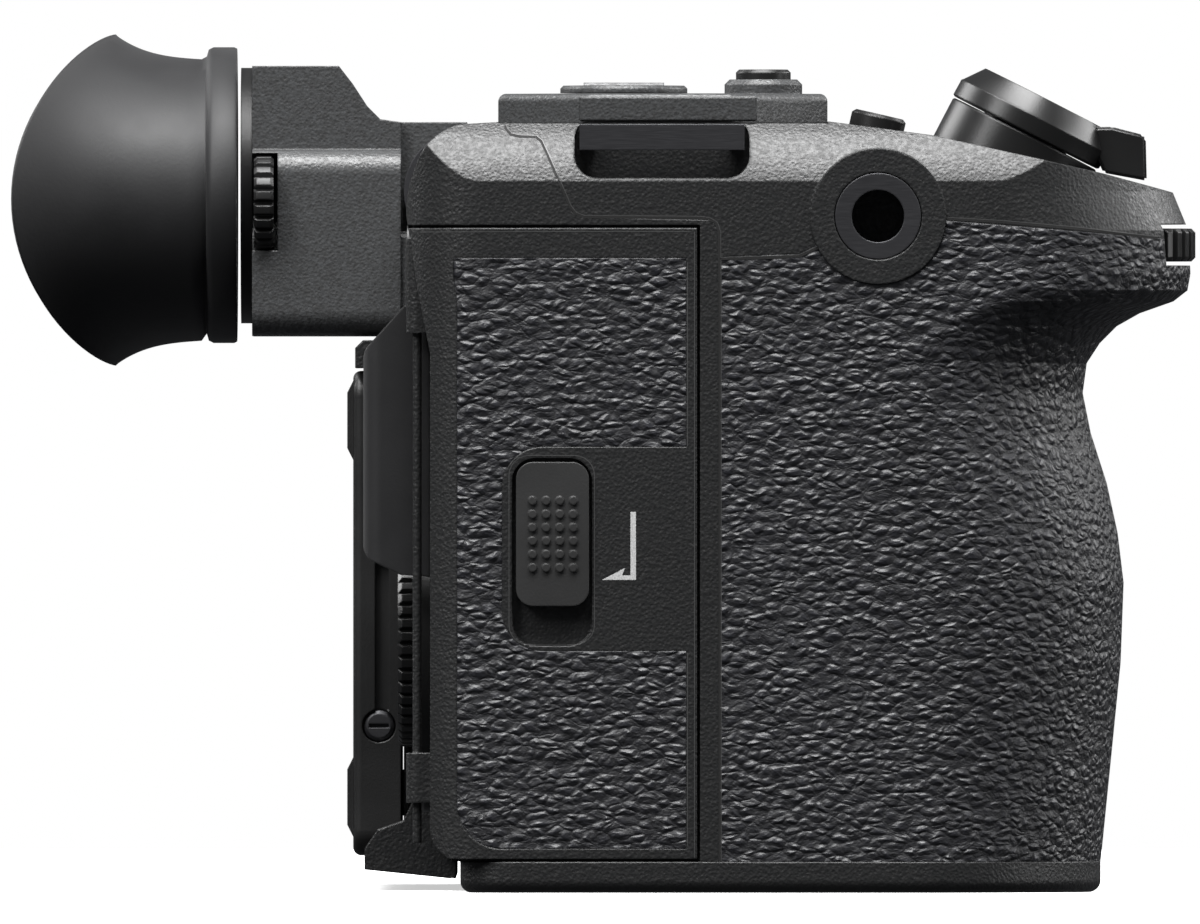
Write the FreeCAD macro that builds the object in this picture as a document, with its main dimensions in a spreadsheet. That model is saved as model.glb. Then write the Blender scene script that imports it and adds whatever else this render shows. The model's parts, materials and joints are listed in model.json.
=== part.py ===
import FreeCAD, Part
import Sketcher
import math
import os
import re
from FreeCAD import Placement, Rotation, Vector

# Cinema camera body with a tilting viewfinder and a large round eyecup.
# Millimetres. +Z is up, the lens looks along -Y and the hand grip is on -X.
# The origin is the mouth of the tripod socket, under the lens axis and in the sensor plane.

doc = FreeCAD.newDocument("cinema_camera")
sheet = doc.addObject("Spreadsheet::Sheet", "Sizes")
names = []
nodes = []

TURNS = {
    "x": Rotation(Vector(0, 1, 0), 90),
    "-x": Rotation(Vector(0, 1, 0), -90),
    "y": Rotation(Vector(1, 0, 0), -90),
    "-y": Rotation(Vector(1, 0, 0), 90),
    "z": Rotation(),
    "-z": Rotation(Vector(1, 0, 0), 180),
}


# Helpers

def size(name, number):
    """Writes one driving dimension into the sheet under its own alias."""
    row = len(names) + 1
    sheet.set(f"A{row}", name)
    sheet.set(f"B{row}", str(number))
    sheet.setAlias(f"B{row}", name)
    names.append(name)


def full(text):
    """Turns the plain names in an expression into references to the sheet."""
    def swap(match):
        word = match.group()
        return "Sizes." + word if word in names else word
    return re.sub(r"[a-z][a-z_0-9]*", swap, text)


def value(text):
    return float(sheet.evalExpression(full(text)))


def bind(item, field, text):
    item.setExpression(field, full(text))


def turn_of(turn):
    return TURNS[turn] if isinstance(turn, str) else turn


def place(item, at, turn=None):
    """Puts an object at three expressions, after an optional turn."""
    if turn is not None:
        item.Placement = Placement(Vector(), turn)
    for letter, text in zip("xyz", at):
        bind(item, "Placement.Base." + letter, text)
    return item


def node(item, label):
    """Names a finished sub-part."""
    item.Label = label
    nodes.append(item)
    return item


def arc_between(start, end, radius):
    """The short arc from start to end. A positive radius bends left, a negative one right."""
    chord = end - start
    rise = math.sqrt(max(radius * radius - (chord.Length / 2) ** 2, 0.0))
    left = Vector(-chord.y, chord.x, 0).normalize()
    side = 1 if radius > 0 else -1
    centre = (start + end) * 0.5 + left * (side * rise)
    first, last = (start, end) if radius > 0 else (end, start)
    circle = Part.Circle(centre, Vector(0, 0, 1), abs(radius))
    turns = [math.atan2(spot.y - centre.y, spot.x - centre.x) for spot in (first, last)]
    return Part.ArcOfCircle(circle, turns[0], turns[1])


def draw(sketch, path):
    """Draws a closed outline whose points are bound to the sheet.

    Each entry is (u, v) for a straight edge that ends there, or (u, v, radius) for an arc.
    """
    spots = [Vector(value(entry[0]), value(entry[1]), 0) for entry in path]
    ends = []
    for number, entry in enumerate(path):
        start, end = spots[number - 1], spots[number]
        if len(entry) == 2:
            sketch.addGeometry(Part.LineSegment(start, end))
            ends.append((1, 2))
        else:
            radius = value(entry[2])
            sketch.addGeometry(arc_between(start, end, radius))
            ends.append((1, 2) if radius > 0 else (2, 1))
    for number, entry in enumerate(path):
        after = (number + 1) % len(path)
        last = ends[number][1]
        sketch.addConstraint(Sketcher.Constraint("Coincident", number, last, after, ends[after][0]))
        for kind, text, amount in (("DistanceX", entry[0], spots[number].x),
                                   ("DistanceY", entry[1], spots[number].y)):
            rule = sketch.addConstraint(Sketcher.Constraint(kind, -1, 1, number, last, amount))
            bind(sketch, f"Constraints[{rule}]", text)
        if len(entry) == 3:
            rule = sketch.addConstraint(Sketcher.Constraint("Radius", number, abs(value(entry[2]))))
            bind(sketch, f"Constraints[{rule}]", f"abs({entry[2]})")
    return sketch


def sketch_in(body, name, plane, path, level):
    """A sketch on one of the body's own planes, moved along its normal by level."""
    sketch = body.newObject("Sketcher::SketchObject", name)
    support = [item for item in body.Origin.OriginFeatures if item.Role == plane + "_Plane"][0]
    sketch.AttachmentSupport = [(support, "")]
    sketch.MapMode = "FlatFace"
    bind(sketch, "AttachmentOffset.Base.z", level)
    return draw(sketch, path)


def prism(name, plane, path, low, high):
    """A body with one outline in a main plane, padded from low to high across it."""
    body = doc.addObject("PartDesign::Body", name)
    level = f"-({high})" if plane == "XZ" else low
    pad = body.newObject("PartDesign::Pad", name + "_pad")
    pad.Profile = sketch_in(body, name + "_outline", plane, path, level)
    bind(pad, "Length", f"({high}) - ({low})")
    body.Tip = pad
    return body


def turned(name, path, at=("0", "0", "0"), turn="z"):
    """A revolved body. The outline gives radius and height, and the body's Z is turned to an axis."""
    body = doc.addObject("PartDesign::Body", name)
    profile = sketch_in(body, name + "_profile", "XZ", path, "0")
    spin = body.newObject("PartDesign::Revolution", name + "_turned")
    spin.Profile = profile
    spin.ReferenceAxis = (profile, ["V_Axis"])
    spin.Angle = 360
    body.Tip = spin
    return place(body, at, turn_of(turn))


def notched(body, name, path, low, high, count):
    """Cuts one notch along the body's Z and repeats it round that axis."""
    pocket = body.newObject("PartDesign::Pocket", name + "_notch")
    pocket.Profile = sketch_in(body, name + "_notch_outline", "XY", path, high)
    bind(pocket, "Length", f"({high}) - ({low})")
    doc.recompute()
    ring = body.newObject("PartDesign::PolarPattern", name + "_notches")
    ring.Originals = [pocket]
    middle = [item for item in body.Origin.OriginFeatures if item.Role == "Z_Axis"][0]
    ring.Axis = (middle, [""])
    ring.Angle = 360
    bind(ring, "Occurrences", count)
    body.Tip = ring
    return body


def block(name, x, y, z):
    """A box between two expressions on each axis."""
    item = doc.addObject("Part::Box", name)
    for field, span in (("Length", x), ("Width", y), ("Height", z)):
        bind(item, field, f"({span[1]}) - ({span[0]})")
    return place(item, (x[0], y[0], z[0]))


def rod(name, at, turn, radius, length):
    """A cylinder that starts at a point and runs along a signed axis."""
    item = doc.addObject("Part::Cylinder", name)
    bind(item, "Radius", radius)
    bind(item, "Height", length)
    return place(item, at, turn_of(turn))


def cut(name, base, *tools):
    for number, tool in enumerate(tools):
        item = doc.addObject("Part::Cut", f"{name}_cut{number + 1}")
        item.Base = base
        item.Tool = tool
        base = item
    return base


def join(name, *pieces):
    item = doc.addObject("Part::MultiFuse", name + "_joined")
    item.Shapes = list(pieces)
    item.Refine = True
    return item


def common(name, base, tool):
    item = doc.addObject("Part::Common", name + "_common")
    item.Base = base
    item.Tool = tool
    return item


def group(name, pieces):
    """Separate solids of one kind, kept as one compound."""
    item = doc.addObject("Part::Compound", name + "_set")
    item.Links = list(pieces)
    return item


def rounded(name, base, radius, pick, kind="Part::Fillet"):
    """Rounds or bevels the edges that pick accepts."""
    doc.recompute()
    amount = value(radius)
    edges = [number + 1 for number, edge in enumerate(base.Shape.Edges) if pick(edge)]
    item = doc.addObject(kind, name)
    item.Base = base
    item.Edges = [(number, amount, amount) for number in edges]
    return item


def along(letter):
    """Accepts straight edges that run along one axis."""
    want = {"x": Vector(1, 0, 0), "y": Vector(0, 1, 0), "z": Vector(0, 0, 1)}[letter]

    def pick(edge):
        if edge.Curve.TypeId != "Part::GeomLine":
            return False
        return abs(edge.tangentAt(edge.FirstParameter).dot(want)) > 0.999
    return pick


def at_level(letter, text):
    """Accepts edges that lie wholly at one level of an axis."""
    level = value(text)

    def pick(edge):
        box = edge.BoundBox
        low = {"x": box.XMin, "y": box.YMin, "z": box.ZMin}[letter]
        high = {"x": box.XMax, "y": box.YMax, "z": box.ZMax}[letter]
        return abs(low - level) < 0.01 and abs(high - level) < 0.01
    return pick


def round_rect(u, v, radius):
    """The path of a rectangle with round corners, from two spans and a radius."""
    (a, b), (c, d) = u, v
    return [
        (a, f"({c}) + ({radius})"),
        (f"({a}) + ({radius})", c, radius),
        (f"({b}) - ({radius})", c),
        (b, f"({c}) + ({radius})", radius),
        (b, f"({d}) - ({radius})"),
        (f"({b}) - ({radius})", d, radius),
        (f"({a}) + ({radius})", d),
        (a, f"({d}) - ({radius})", radius),
    ]


# Driving dimensions: body and covers
BODY = {
    "grip_reach": 76,
    "left_reach": 53.7,
    "front_plane": 14,
    "rear_plane": 33.3,
    "shoulder": 77.2,
    "base_thick": 3.1,
    "seam_depth": 4.4,
    "seam_level": 67.3,
    "corner": 5,
    "front_corner": 7,
    "slip": 0.3,
    "axis_level": 37.5,
    "grip_width": 30,
    "leather_thick": 0.9,
    "nose_reach": 42.9,
    "leather_top": 63.6,
    "deck_top": 80,
    "deck_front": 6.5,
    "deck_rear": 26.5,
    "deck_side": 71.5,
    "deck_inner": 21,
    "boss_back": 11.5,
    "boss_level": 67.7,
    "boss_radius": 6.8,
    "socket_flange": 4.4,
    "socket_bore": 2.625,
    "socket_depth": 7,
}

# Driving dimensions: lens mount, shutter and sensor
MOUNT = {
    "flange_back": 18,
    "mount_radius": 30,
    "throat_radius": 23.05,
    "mount_thick": 3.2,
    "claw_reach": 1.6,
    "claw_thick": 1.4,
    "mount_screw_ring": 27,
    "boss_ring_radius": 33,
    "screw_head": 1.5,
    "chamber_wide": 46,
    "chamber_high": 36,
    "shutter_front": 9,
    "shutter_thick": 4,
    "sensor_thick": 3,
    "frame_wide": 36,
    "frame_high": 24,
    "release_radius": 5,
}

# Driving dimensions: doors, battery and cards
DOORS = {
    "door_front": 6.6,
    "door_top": 66.5,
    "door_thick": 2.2,
    "hinge_radius": 1.1,
    "pin_radius": 0.5,
    "pad_rear": 30.6,
    "pad_front": 7.7,
    "pad_top": 63.5,
    "pad_bottom": 4.4,
    "pad_thick": 0.5,
    "latch_rear": 24.7,
    "latch_front": 17.4,
    "latch_top": 43.1,
    "latch_high": 14.4,
    "latch_travel": 3.7,
    "latch_corner": 1.7,
    "card_wide": 24,
    "card_deep": 32,
    "card_thick": 2.1,
    "battery_wide": 22.7,
    "battery_deep": 38.7,
    "battery_high": 51.7,
    "battery_back": 3,
    "battery_rear": 16.2,
    "lid_thick": 2,
}

# Driving dimensions: top controls
TOP = {
    "knob_radius": 6.4,
    "record_radius": 2.75,
    "record_ring": 3.9,
    "round_button": 2.75,
    "top_slope": 13,
    "zoom_radius": 8.3,
    "zoom_slope": 27,
    "zoom_back": 25.9,
    "zoom_level": 75.2,
    "finger_line": 60.5,
    "shutter_radius": 4.6,
    "dial_radius": 7,
    "dial_thick": 3.3,
    "dial_level": 63.2,
    "dial_reach": 43.4,
    "shoe_wide": 18.7,
    "shoe_throat": 12.6,
    "shoe_deep": 18,
    "shoe_gap": 2,
    "lug_long": 16.5,
    "lug_middle": 10.1,
}

# Driving dimensions: viewfinder
FINDER = {
    "finder_line": 28,
    "finder_axis": 70.2,
    "finder_wide": 36,
    "finder_top": 83.3,
    "finder_bottom": 55.9,
    "finder_rear": 51.6,
    "tilt_back": 29.8,
    "tilt_level": 70.5,
    "tilt_radius": 6.9,
    "ear_thick": 4,
    "eyepiece_radius": 11,
    "diopter_radius": 4.75,
    "diopter_thick": 2,
    "cup_rear": 76.1,
    "cup_high": 33.8,
    "cup_wide": 46,
}

# Driving dimensions: monitor and rear controls
REAR = {
    "monitor_left": 51.5,
    "monitor_right": 23.5,
    "monitor_top": 52.3,
    "monitor_low": 3.4,
    "monitor_front": 36.4,
    "monitor_rear": 41.2,
    "swing_line": 50.6,
    "swing_back": 38.6,
    "thumb_rear": 40,
    "thumb_low": 33,
    "thumb_high": 58.8,
    "wheel_line": 45,
    "wheel_level": 24.9,
    "wheel_ring": 11.5,
    "wheel_radius": 10.4,
    "key_radius": 3,
    "stick_line": 31.5,
    "port_low": 10,
    "port_high": 62,
    "port_deep": 12,
}

for table in (BODY, MOUNT, DOORS, TOP, FINDER, REAR):
    for alias, number in table.items():
        size(alias, number)
doc.recompute()


# Whole form of the body, from which the covers are cut

def grip_section(name, level, front, inset):
    """A plan outline of the grip at one height, moved in by the leather where asked."""
    side = f"-grip_reach + {inset}"
    nose = f"-({front}) + {inset}"
    inner = f"-grip_reach + grip_width + {inset} * -1"
    sketch = doc.addObject("Sketcher::SketchObject", name)
    bind(sketch, "Placement.Base.z", level)
    return draw(sketch, [
        (side, "seam_depth"),
        (side, f"{nose} + 17"),
        (f"-grip_reach + 15.4", nose, f"19 - {inset}"),
        (inner, f"{nose} + 15", f"18 - {inset}"),
        ("-grip_reach + grip_width + 4", "-front_plane + 3"),
        ("-grip_reach + grip_width + 4", "seam_depth"),
    ])


def grip_loft(name, inset):
    """The hand grip, waisted under the finger rest and swelling again above it."""
    steps = [
        ("base_thick", "33.9"), ("14", "35"), ("23", "35.9"), ("31", "36.2"), ("36", "35.6"),
        ("41", "34.5"), ("46", "32.9"), ("50", "32.1"), ("53", "32.5"), ("55", "33.8"), ("56.7", "35.5"),
        ("58", "37.8"), ("59.2", "41.2"), ("60.3", "nose_reach - 0.3"),
        ("62", "nose_reach"), ("66.3", "nose_reach - 0.2"), ("70.2", "nose_reach - 1.8"), ("shoulder + 2", "39"),
    ]
    loft = doc.addObject("Part::Loft", name)
    loft.Sections = [grip_section(f"{name}_{number}", level, front, inset)
                     for number, (level, front) in enumerate(steps)]
    loft.Solid = True
    loft.Ruled = True
    return loft


def body_form(name, inset, grip):
    """The outer form, or the same form moved in, as three outlines that meet."""
    right, left = f"(-grip_reach + {inset})", f"(left_reach - {inset})"
    front, rear = f"(-front_plane + {inset})", f"(rear_plane + 2.5 - {inset})"
    plan = prism(name + "_plan", "XY", [
        (right, "0"),
        (right, f"{rear} - 2.5 - corner", ),
        (f"{right} + corner + 2.5", rear, f"-(corner + 2.5)"),
        (f"{left} - corner - 2.5", rear),
        (left, f"{rear} - corner - 2.5", "-(corner + 2.5)"),
        (left, f"{front} + front_corner"),
        (f"{left} - front_corner", front, "-front_corner"),
        ("-grip_reach + grip_width", front),
        ("-grip_reach + grip_width", "0"),
    ], "base_thick", "shoulder + 2")
    side = prism(name + "_side", "YZ", [
        (f"rear_plane - {inset}", "8"),
        (f"rear_plane - {inset}", "54"),
        (f"rear_plane + 1.3 - {inset}", "60.5"),
        (f"rear_plane + 2.4 - {inset}", "67.8"),
        (f"rear_plane + 1.4 - {inset}", "72.8", "12"),
        (f"rear_plane - 3 - {inset}", "76.9", "6"),
        ("rear_plane - 8", "shoulder"),
        ("-6.5", "shoulder"),
        ("-17", "shoulder - 1.4"),
        ("-34", "shoulder - 5.2"),
        ("-41.2", "shoulder - 7.1"),
        ("-46", "shoulder - 9"),
        ("-46", "base_thick"),
        ("rear_plane - 3", "base_thick"),
        (f"rear_plane - {inset}", "base_thick + 3", "3.5"),
    ], f"{right} - 2", f"{left} + 2")
    face = prism(name + "_face", "XZ", [
        (right, "base_thick"),
        (right, f"shoulder - 6 - {inset}"),
        (f"{right} + 3.5", f"shoulder + 3 - {inset} - 4", "-14"),
        (f"{right} + 7", "shoulder + 2"),
        (f"{left} - 4", "shoulder + 2"),
        (f"{left} - 4", f"shoulder - {inset}"),
        (left, f"shoulder - 4 - {inset}", "-4"),
        (left, "base_thick"),
    ], "-50", "45")
    whole = join(name, plan, grip) if grip is not None else plan
    return common(name + "_out", common(name + "_mid", whole, side), face)


def region(name, path, low="-grip_reach - 5", high="left_reach + 5"):
    return prism(name, "YZ", path, low, high)


def whole_body():
    return body_form("form", "0", grip_loft("grip_outer", "0"))


def top_region(name, drop):
    """Everything above the seam between the top cover and the pieces under it."""
    return region(name, [
        ("32.3 + 3", "shoulder + 6"),
        ("25.6", "shoulder + 6"),
        ("25.3", f"shoulder - 1.3 - {drop}"),
        ("22.3", f"shoulder - 1.6 - {drop}"),
        ("19.1", f"seam_level + 0.8 - {drop}"),
        ("18.1", f"seam_level + 0.3 - {drop}"),
        ("5.1", f"seam_level - {drop}"),
        ("seam_depth", f"seam_level - 1.2 - {drop}"),
        ("seam_depth", f"leather_top - {drop}"),
        ("-3.7", f"leather_top + 0.3 - {drop}"),
        ("-6.7", f"leather_top + 1.8 - {drop}"),
        ("-16.5", f"leather_top + 3.8 - {drop}"),
        ("-39.7", f"leather_top + 1.9 - {drop}"),
        ("-50", f"leather_top + 1.2 - {drop}"),
        ("-50", "shoulder + 6"),
    ])


# Covers, base plate and grip

def zone(name, x, y, z):
    return block(name, x, y, z)


form = whole_body()
core = body_form("core", "leather_thick", grip_loft("grip_core", "leather_thick"))
under = cut("under", form, top_region("over", "0"))
grip_edge = "(-grip_reach + grip_width + 4)"
far = "(grip_reach + 10)"

door_line = "(-grip_reach + door_thick + 3.2)"
hinge_y = "(rear_plane + hinge_radius + 0.2)"
bay_y = ("18.6", "29.8")
battery_x = (f"(-grip_reach + 4)", "(-grip_reach + 4 + battery_wide)")
battery_y = ("(battery_rear - battery_deep)", "battery_rear")
battery_z = ("battery_back", "battery_back + battery_high")


def grown(span, gap="slip"):
    return (f"{span[0]} - {gap}", f"{span[1]} + {gap}")


def battery_bay(name):
    return block(name, grown(battery_x), grown(battery_y), ("-1", "battery_back + battery_high + 1.2"))


def door_hole(name, gap):
    """The space of the card door: its wrap round the rear corner and its straight side."""
    inner = body_form(name + "_inner", "door_thick", None)
    zone_box = block(name + "_zone", ("-grip_reach - 5", f"{door_line} + {gap}"),
                     (f"door_front - {gap}", "rear_plane + 8"),
                     ("base_thick - 1", f"door_top + {gap}"))
    return common(name, cut(name, form, inner), zone_box)


def ring_rod(name, y0, y1, radius):
    """A cylinder on the lens axis between two depths."""
    return rod(name, ("0", y0, "axis_level"), "y", radius, f"({y1}) - ({y0})")


boss_hole = rod("boss_hole", ("-grip_reach - 1", "-boss_back", "boss_level"), "x",
                "boss_radius", "socket_depth + 4")

# Front casing with the lens boss
front_zone = block("front_zone", (grip_edge, far), ("-front_plane - 1", "seam_depth"), ("0", "90"))
front_blank = join("front_blank", common("front_zone", under, front_zone),
                   ring_rod("mount_boss", "-front_plane - 1.4", "-front_plane + 1", "boss_ring_radius - 1.5"))
front_casing = cut(
    "front_casing", front_blank,
    rod("tripod_space", ("0", "0", "0"), "z", "socket_flange + 0.1", "socket_depth + 0.2"),
    ring_rod("throat_hole", "-front_plane - 3", "-shutter_front", "throat_radius + 1"),
    block("chamber_hole", ("-chamber_wide / 2", "chamber_wide / 2"), ("-shutter_front", "seam_depth + 1"),
          ("axis_level - chamber_high / 2", "axis_level + chamber_high / 2")),
    rod("release_hole", ("33.2", "-front_plane - 3", "axis_level - 20"), "y", "release_radius + slip", "9"),
    rod("lock_hole", ("26.3", "-front_plane - 3", "axis_level - 11.2"), "y", "1.3 + slip", "7"),
    ring_rod("mount_seat", "-front_plane - 2", "-flange_back + mount_thick", "mount_radius"),
)
node(front_casing, "front_casing")

# Grip frame with the battery bay, and its leather skin
grip_zone_a = block("grip_zone_a", ("-90", grip_edge), ("-60", "seam_depth"), ("0", "90"))
grip_zone_b = block("grip_zone_b", ("-90", grip_edge), ("-60", "seam_depth"), ("0", "90"))
grip_under = cut("grip_under", core, top_region("over_core", "0"))
dial_notch = rod("dial_notch", ("-finger_line", "-dial_reach + dial_radius", "dial_level - 0.4"), "z",
                 "dial_radius + 0.6", "dial_thick + 0.8")
bay_cut = battery_bay("grip_bay")
grip_frame = cut("grip_frame", common("grip_frame", grip_under, grip_zone_a), bay_cut, boss_hole, dial_notch)
node(grip_frame, "grip_frame")
grip_leather = cut("grip_leather", common("grip_leather", cut("grip_skin", under, core), grip_zone_b),
                   boss_hole, dial_notch)
node(grip_leather, "grip_leather")

# Rear cover
tripod_room = rod("tripod_room", ("0", "0", "0"), "z", "socket_flange + 0.1", "socket_depth + 0.2")
rear_zone = block("rear_zone", ("-90", far), ("seam_depth", "60"), ("0", "90"))
tilt_spot = (f"finder_line - finder_wide / 2 - 0.6", "tilt_back", "tilt_level")
tilt_hole = rod("tilt_hole", tilt_spot, "x", "tilt_radius + slip", "finder_wide + 1.2")
tilt_clear = block("tilt_clear", ("finder_line - finder_wide / 2 - 0.6", "finder_line + finder_wide / 2 + 0.6"),
                   ("tilt_back", "rear_plane + 8"), ("finder_bottom - 1", "shoulder + 3"))


def tilt_slot(name):
    """Room in front of the hinge for the top of the viewfinder when it stands up."""
    return block(name, ("finder_line - finder_wide / 2 - 0.6", "finder_line + finder_wide / 2 + 0.6"),
                 ("tilt_back - tilt_radius - 1.8", "tilt_back + 0.1"), ("tilt_level", "shoulder + 3"))


pin_groove = rod("pin_groove", (f"{door_line}", hinge_y, "base_thick - 1"), "z",
                 "hinge_radius + slip + 0.1", "door_top - base_thick + 1 + slip")
card_floor = "(-grip_reach + door_thick + 7)"
card_room = block("card_room", ("-grip_reach + 1", card_floor), bay_y, ("14", "56"))
card_unit_room = block("card_unit_room", (card_floor, "-34"), ("18.9", "29.4"), ("24", "52"))
rear_cover = cut(
    "rear_cover", common("rear_cover", under, rear_zone),
    tripod_room,
    door_hole("card_door_space", "slip"), card_room, card_unit_room, battery_bay("rear_bay"), tilt_hole,
    tilt_clear, tilt_slot("tilt_slot_rear"), pin_groove,
    rod("pin_socket", (door_line, hinge_y, "60"), "z", "pin_radius", "door_top - 52"),
    rod("deck_socket_room", ("-12.5", "20", "shoulder - 6"), "z", "socket_flange + slip", "6"),
    block("deck_ledge", ("-90", "60"), ("20", "deck_rear"), ("shoulder - 0.2", "90")),
    rod("fan_hole", ("26", "12", "30"), "y", "13.4", "9"),
    block("board_hole", ("-28", "40"), ("5.5", "8"), ("8", "60")),
    block("port_hole", ("left_reach - port_deep", far), ("seam_depth - 1", "20.4"), ("port_low", "port_high")),
    block("sink_hole", ("-20", "20"), ("seam_depth - 1", "5.5"), ("axis_level - 15", "axis_level + 15")),
)

# Base plate
base_path = [
    ("-grip_reach", "-33.9 + 17"),
    ("-grip_reach + 15.4", "-33.9", "19"),
    ("-grip_reach + grip_width", "-33.9 + 15", "18"),
    (grip_edge, "-front_plane"),
    ("left_reach - front_corner", "-front_plane"),
    ("left_reach", "-front_plane + front_corner", "front_corner"),
    ("left_reach", "rear_plane - 3 - corner"),
    ("left_reach - corner", "rear_plane - 3", "corner"),
    ("-grip_reach + corner", "rear_plane - 3"),
    ("-grip_reach", "rear_plane - 3 - corner", "corner"),
]
lid_x = ("(-grip_reach + 3)", "(-grip_reach + 5 + battery_wide)")
lid_y = ("(battery_rear - battery_deep - 1.1)", "(battery_rear + 1.3)")


def lid_path(gap):
    (a, b), (c, d) = grown(lid_x, gap), grown(lid_y, gap)
    return [(a, f"{c} + 3.5"), (f"{a} + 3.5", c), (f"{b} - 3.5", c), (b, f"{c} + 3.5"), (b, d), (a, d)]


base_blank = prism("base_blank", "XY", base_path, "0", "base_thick")
base_round = rounded("base_round", base_blank, "1.2", at_level("z", "0"))
base_plate = cut(
    "base_plate", base_round,
    prism("lid_hole", "XY", lid_path("slip"), "-1", "base_thick + 1"),
    rod("lid_pin_room", (f"{lid_x[0]} - 1.2", f"{lid_y[1]} - 1.1", "1.3"), "x", "pin_radius", "battery_wide + 4.4"),
    rod("tripod_hole", ("0", "0", "-1"), "z", "socket_flange + 1", "base_thick + 2"),
)
node(base_plate, "base_plate")

# Battery, its lid, the lid's hinge pin and its latch
node(rounded("battery_body", block("battery_blank", battery_x, battery_y, battery_z), "1.5", along("z")), "battery")
lid_plate = cut("lid_plate", prism("lid_plate", "XY", lid_path("0"), "0.25", "0.25 + lid_thick"),
                block("lid_rear", ("-90", "-30"), (f"{lid_y[1]} - 1.1", f"{lid_y[1]} + 1"), ("0", "3")))
lid_barrel = rod("lid_barrel", (lid_x[0], f"{lid_y[1]} - 1.1", "1.3"), "x", "1.05", "battery_wide + 2")
latch_space = block("lid_latch_space", ("-grip_reach + 9.7", "-grip_reach + 20.3"),
                    (f"{lid_y[0]} + 3.7", f"{lid_y[0]} + 9.3"), ("-1", "1.35"))
lid_pins = rod("lid_pins", (f"{lid_x[0]} - 0.9", f"{lid_y[1]} - 1.1", "1.3"), "x", "pin_radius - 0.05",
               "battery_wide + 3.8")
node(join("battery_lid", cut("lid_body", join("lid_blank", lid_plate, lid_barrel), latch_space), lid_pins),
     "battery_lid")
node(block("lid_latch", ("-grip_reach + 12", "-grip_reach + 18"), (f"{lid_y[0]} + 4", f"{lid_y[0]} + 7"),
           ("0.3", "1.35")), "battery_lid_latch")

# Card door, its pad, slide latch and pin
door_shell = door_hole("card_door_blank", "0")
door_low = block("door_low", ("-90", "0"), ("0", "60"), ("0", "base_thick + slip"))
knuckles = []
for number, (low, high) in enumerate((("9", "14"), ("56", "door_top - 1"))):
    knuckle = prism(f"knuckle_{number}", "XY", [
        (f"{door_line} - hinge_radius", "rear_plane - 0.1"),
        (door_line, "rear_plane - 0.1"),
        (door_line, f"{hinge_y} - hinge_radius"),
        (f"{door_line} + hinge_radius", f"{hinge_y}", "hinge_radius"),
        (f"{door_line}", f"{hinge_y} + hinge_radius", "hinge_radius"),
        (f"{door_line} - hinge_radius", f"{hinge_y}", "hinge_radius"),
    ], low, high)
    knuckles.append(knuckle)
pad_path = [
    ("pad_front", "pad_bottom"),
    ("pad_front", "24.2"),
    ("22.1", "24.2"),
    ("26.1", "28.2", "4"),
    ("26.1", "40.6"),
    ("22.1", "44.6", "4"),
    ("pad_front", "44.6"),
    ("pad_front", "pad_top"),
    ("pad_rear + 0.7", "pad_top"),
    ("pad_rear", "pad_top - 4.2"),
    ("pad_rear", "pad_bottom + 4.5"),
    ("pad_rear - 4.5", "pad_bottom", "-4.5"),
]
pad_space = prism("pad_space", "YZ", pad_path, "-grip_reach - 4", "-grip_reach + pad_thick")
latch_y = ("latch_front", "latch_rear")
latch_z = ("latch_top - latch_high", "latch_top")
slot_space = prism("slot_space", "YZ", round_rect(
    ("latch_front - slip", "latch_rear + 0.4"),
    ("latch_top - latch_high - latch_travel - slip", "latch_top + 0.4"), "latch_corner + 0.6"),
    "-grip_reach - 4", "-grip_reach + 1.2")
door_pin = rod("door_pin", (door_line, hinge_y, "5"), "z", "pin_radius - 0.05", "door_top - 4.4")
card_door = cut("card_door", join("card_door", door_shell, *knuckles), door_low, pad_space, slot_space)
node(join("card_door_pinned", card_door, door_pin), "card_door")
node(common("card_door_pad", prism("pad_blank", "YZ", pad_path, "-grip_reach - 2", "-grip_reach + pad_thick"),
            form), "card_door_leather")
latch_blank = prism("latch_blank", "YZ", round_rect(latch_y, latch_z, "latch_corner"),
                    "-grip_reach - 0.5", "-grip_reach + 1.2")
latch_ribs = []
for row in range(6):
    for column in range(4):
        dot = rod(f"latch_dot_{row}_{column}", ("-grip_reach - 0.5 - 0.25", f"18.98 + {column} * 1.36",
                                                f"32.54 + {row} * 1.34"), "x", "0.42", "0.5")
        latch_ribs.append(dot)
node(join("card_door_latch", latch_blank, *latch_ribs), "card_door_latch")

# Card slot unit and the two memory cards
card_x = (f"{card_floor} - 1.5", f"{card_floor} - 1.5 + card_deep")
card_z = ("38 - card_wide / 2", "38 + card_wide / 2")
card_ys = ("20.6", "25.4")
cards = [block(f"card_{number}", card_x, (middle, f"{middle} + card_thick"), card_z)
         for number, middle in enumerate(card_ys)]
slots = [block(f"card_slot_{number}", (card_x[0], "-35"),
               (f"{middle} - 0.25", f"{middle} + card_thick + 0.25"), grown(card_z, "0.25"))
         for number, middle in enumerate(card_ys)]
unit_blank = block("unit_blank", (card_floor, "-34"), ("18.9", "29.4"), ("24", "52"))
node(cut("card_slots", unit_blank, *slots), "card_slots")
node(group("memory_cards", cards), "memory_cards")


# Top cover, deck and the controls on them

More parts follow.
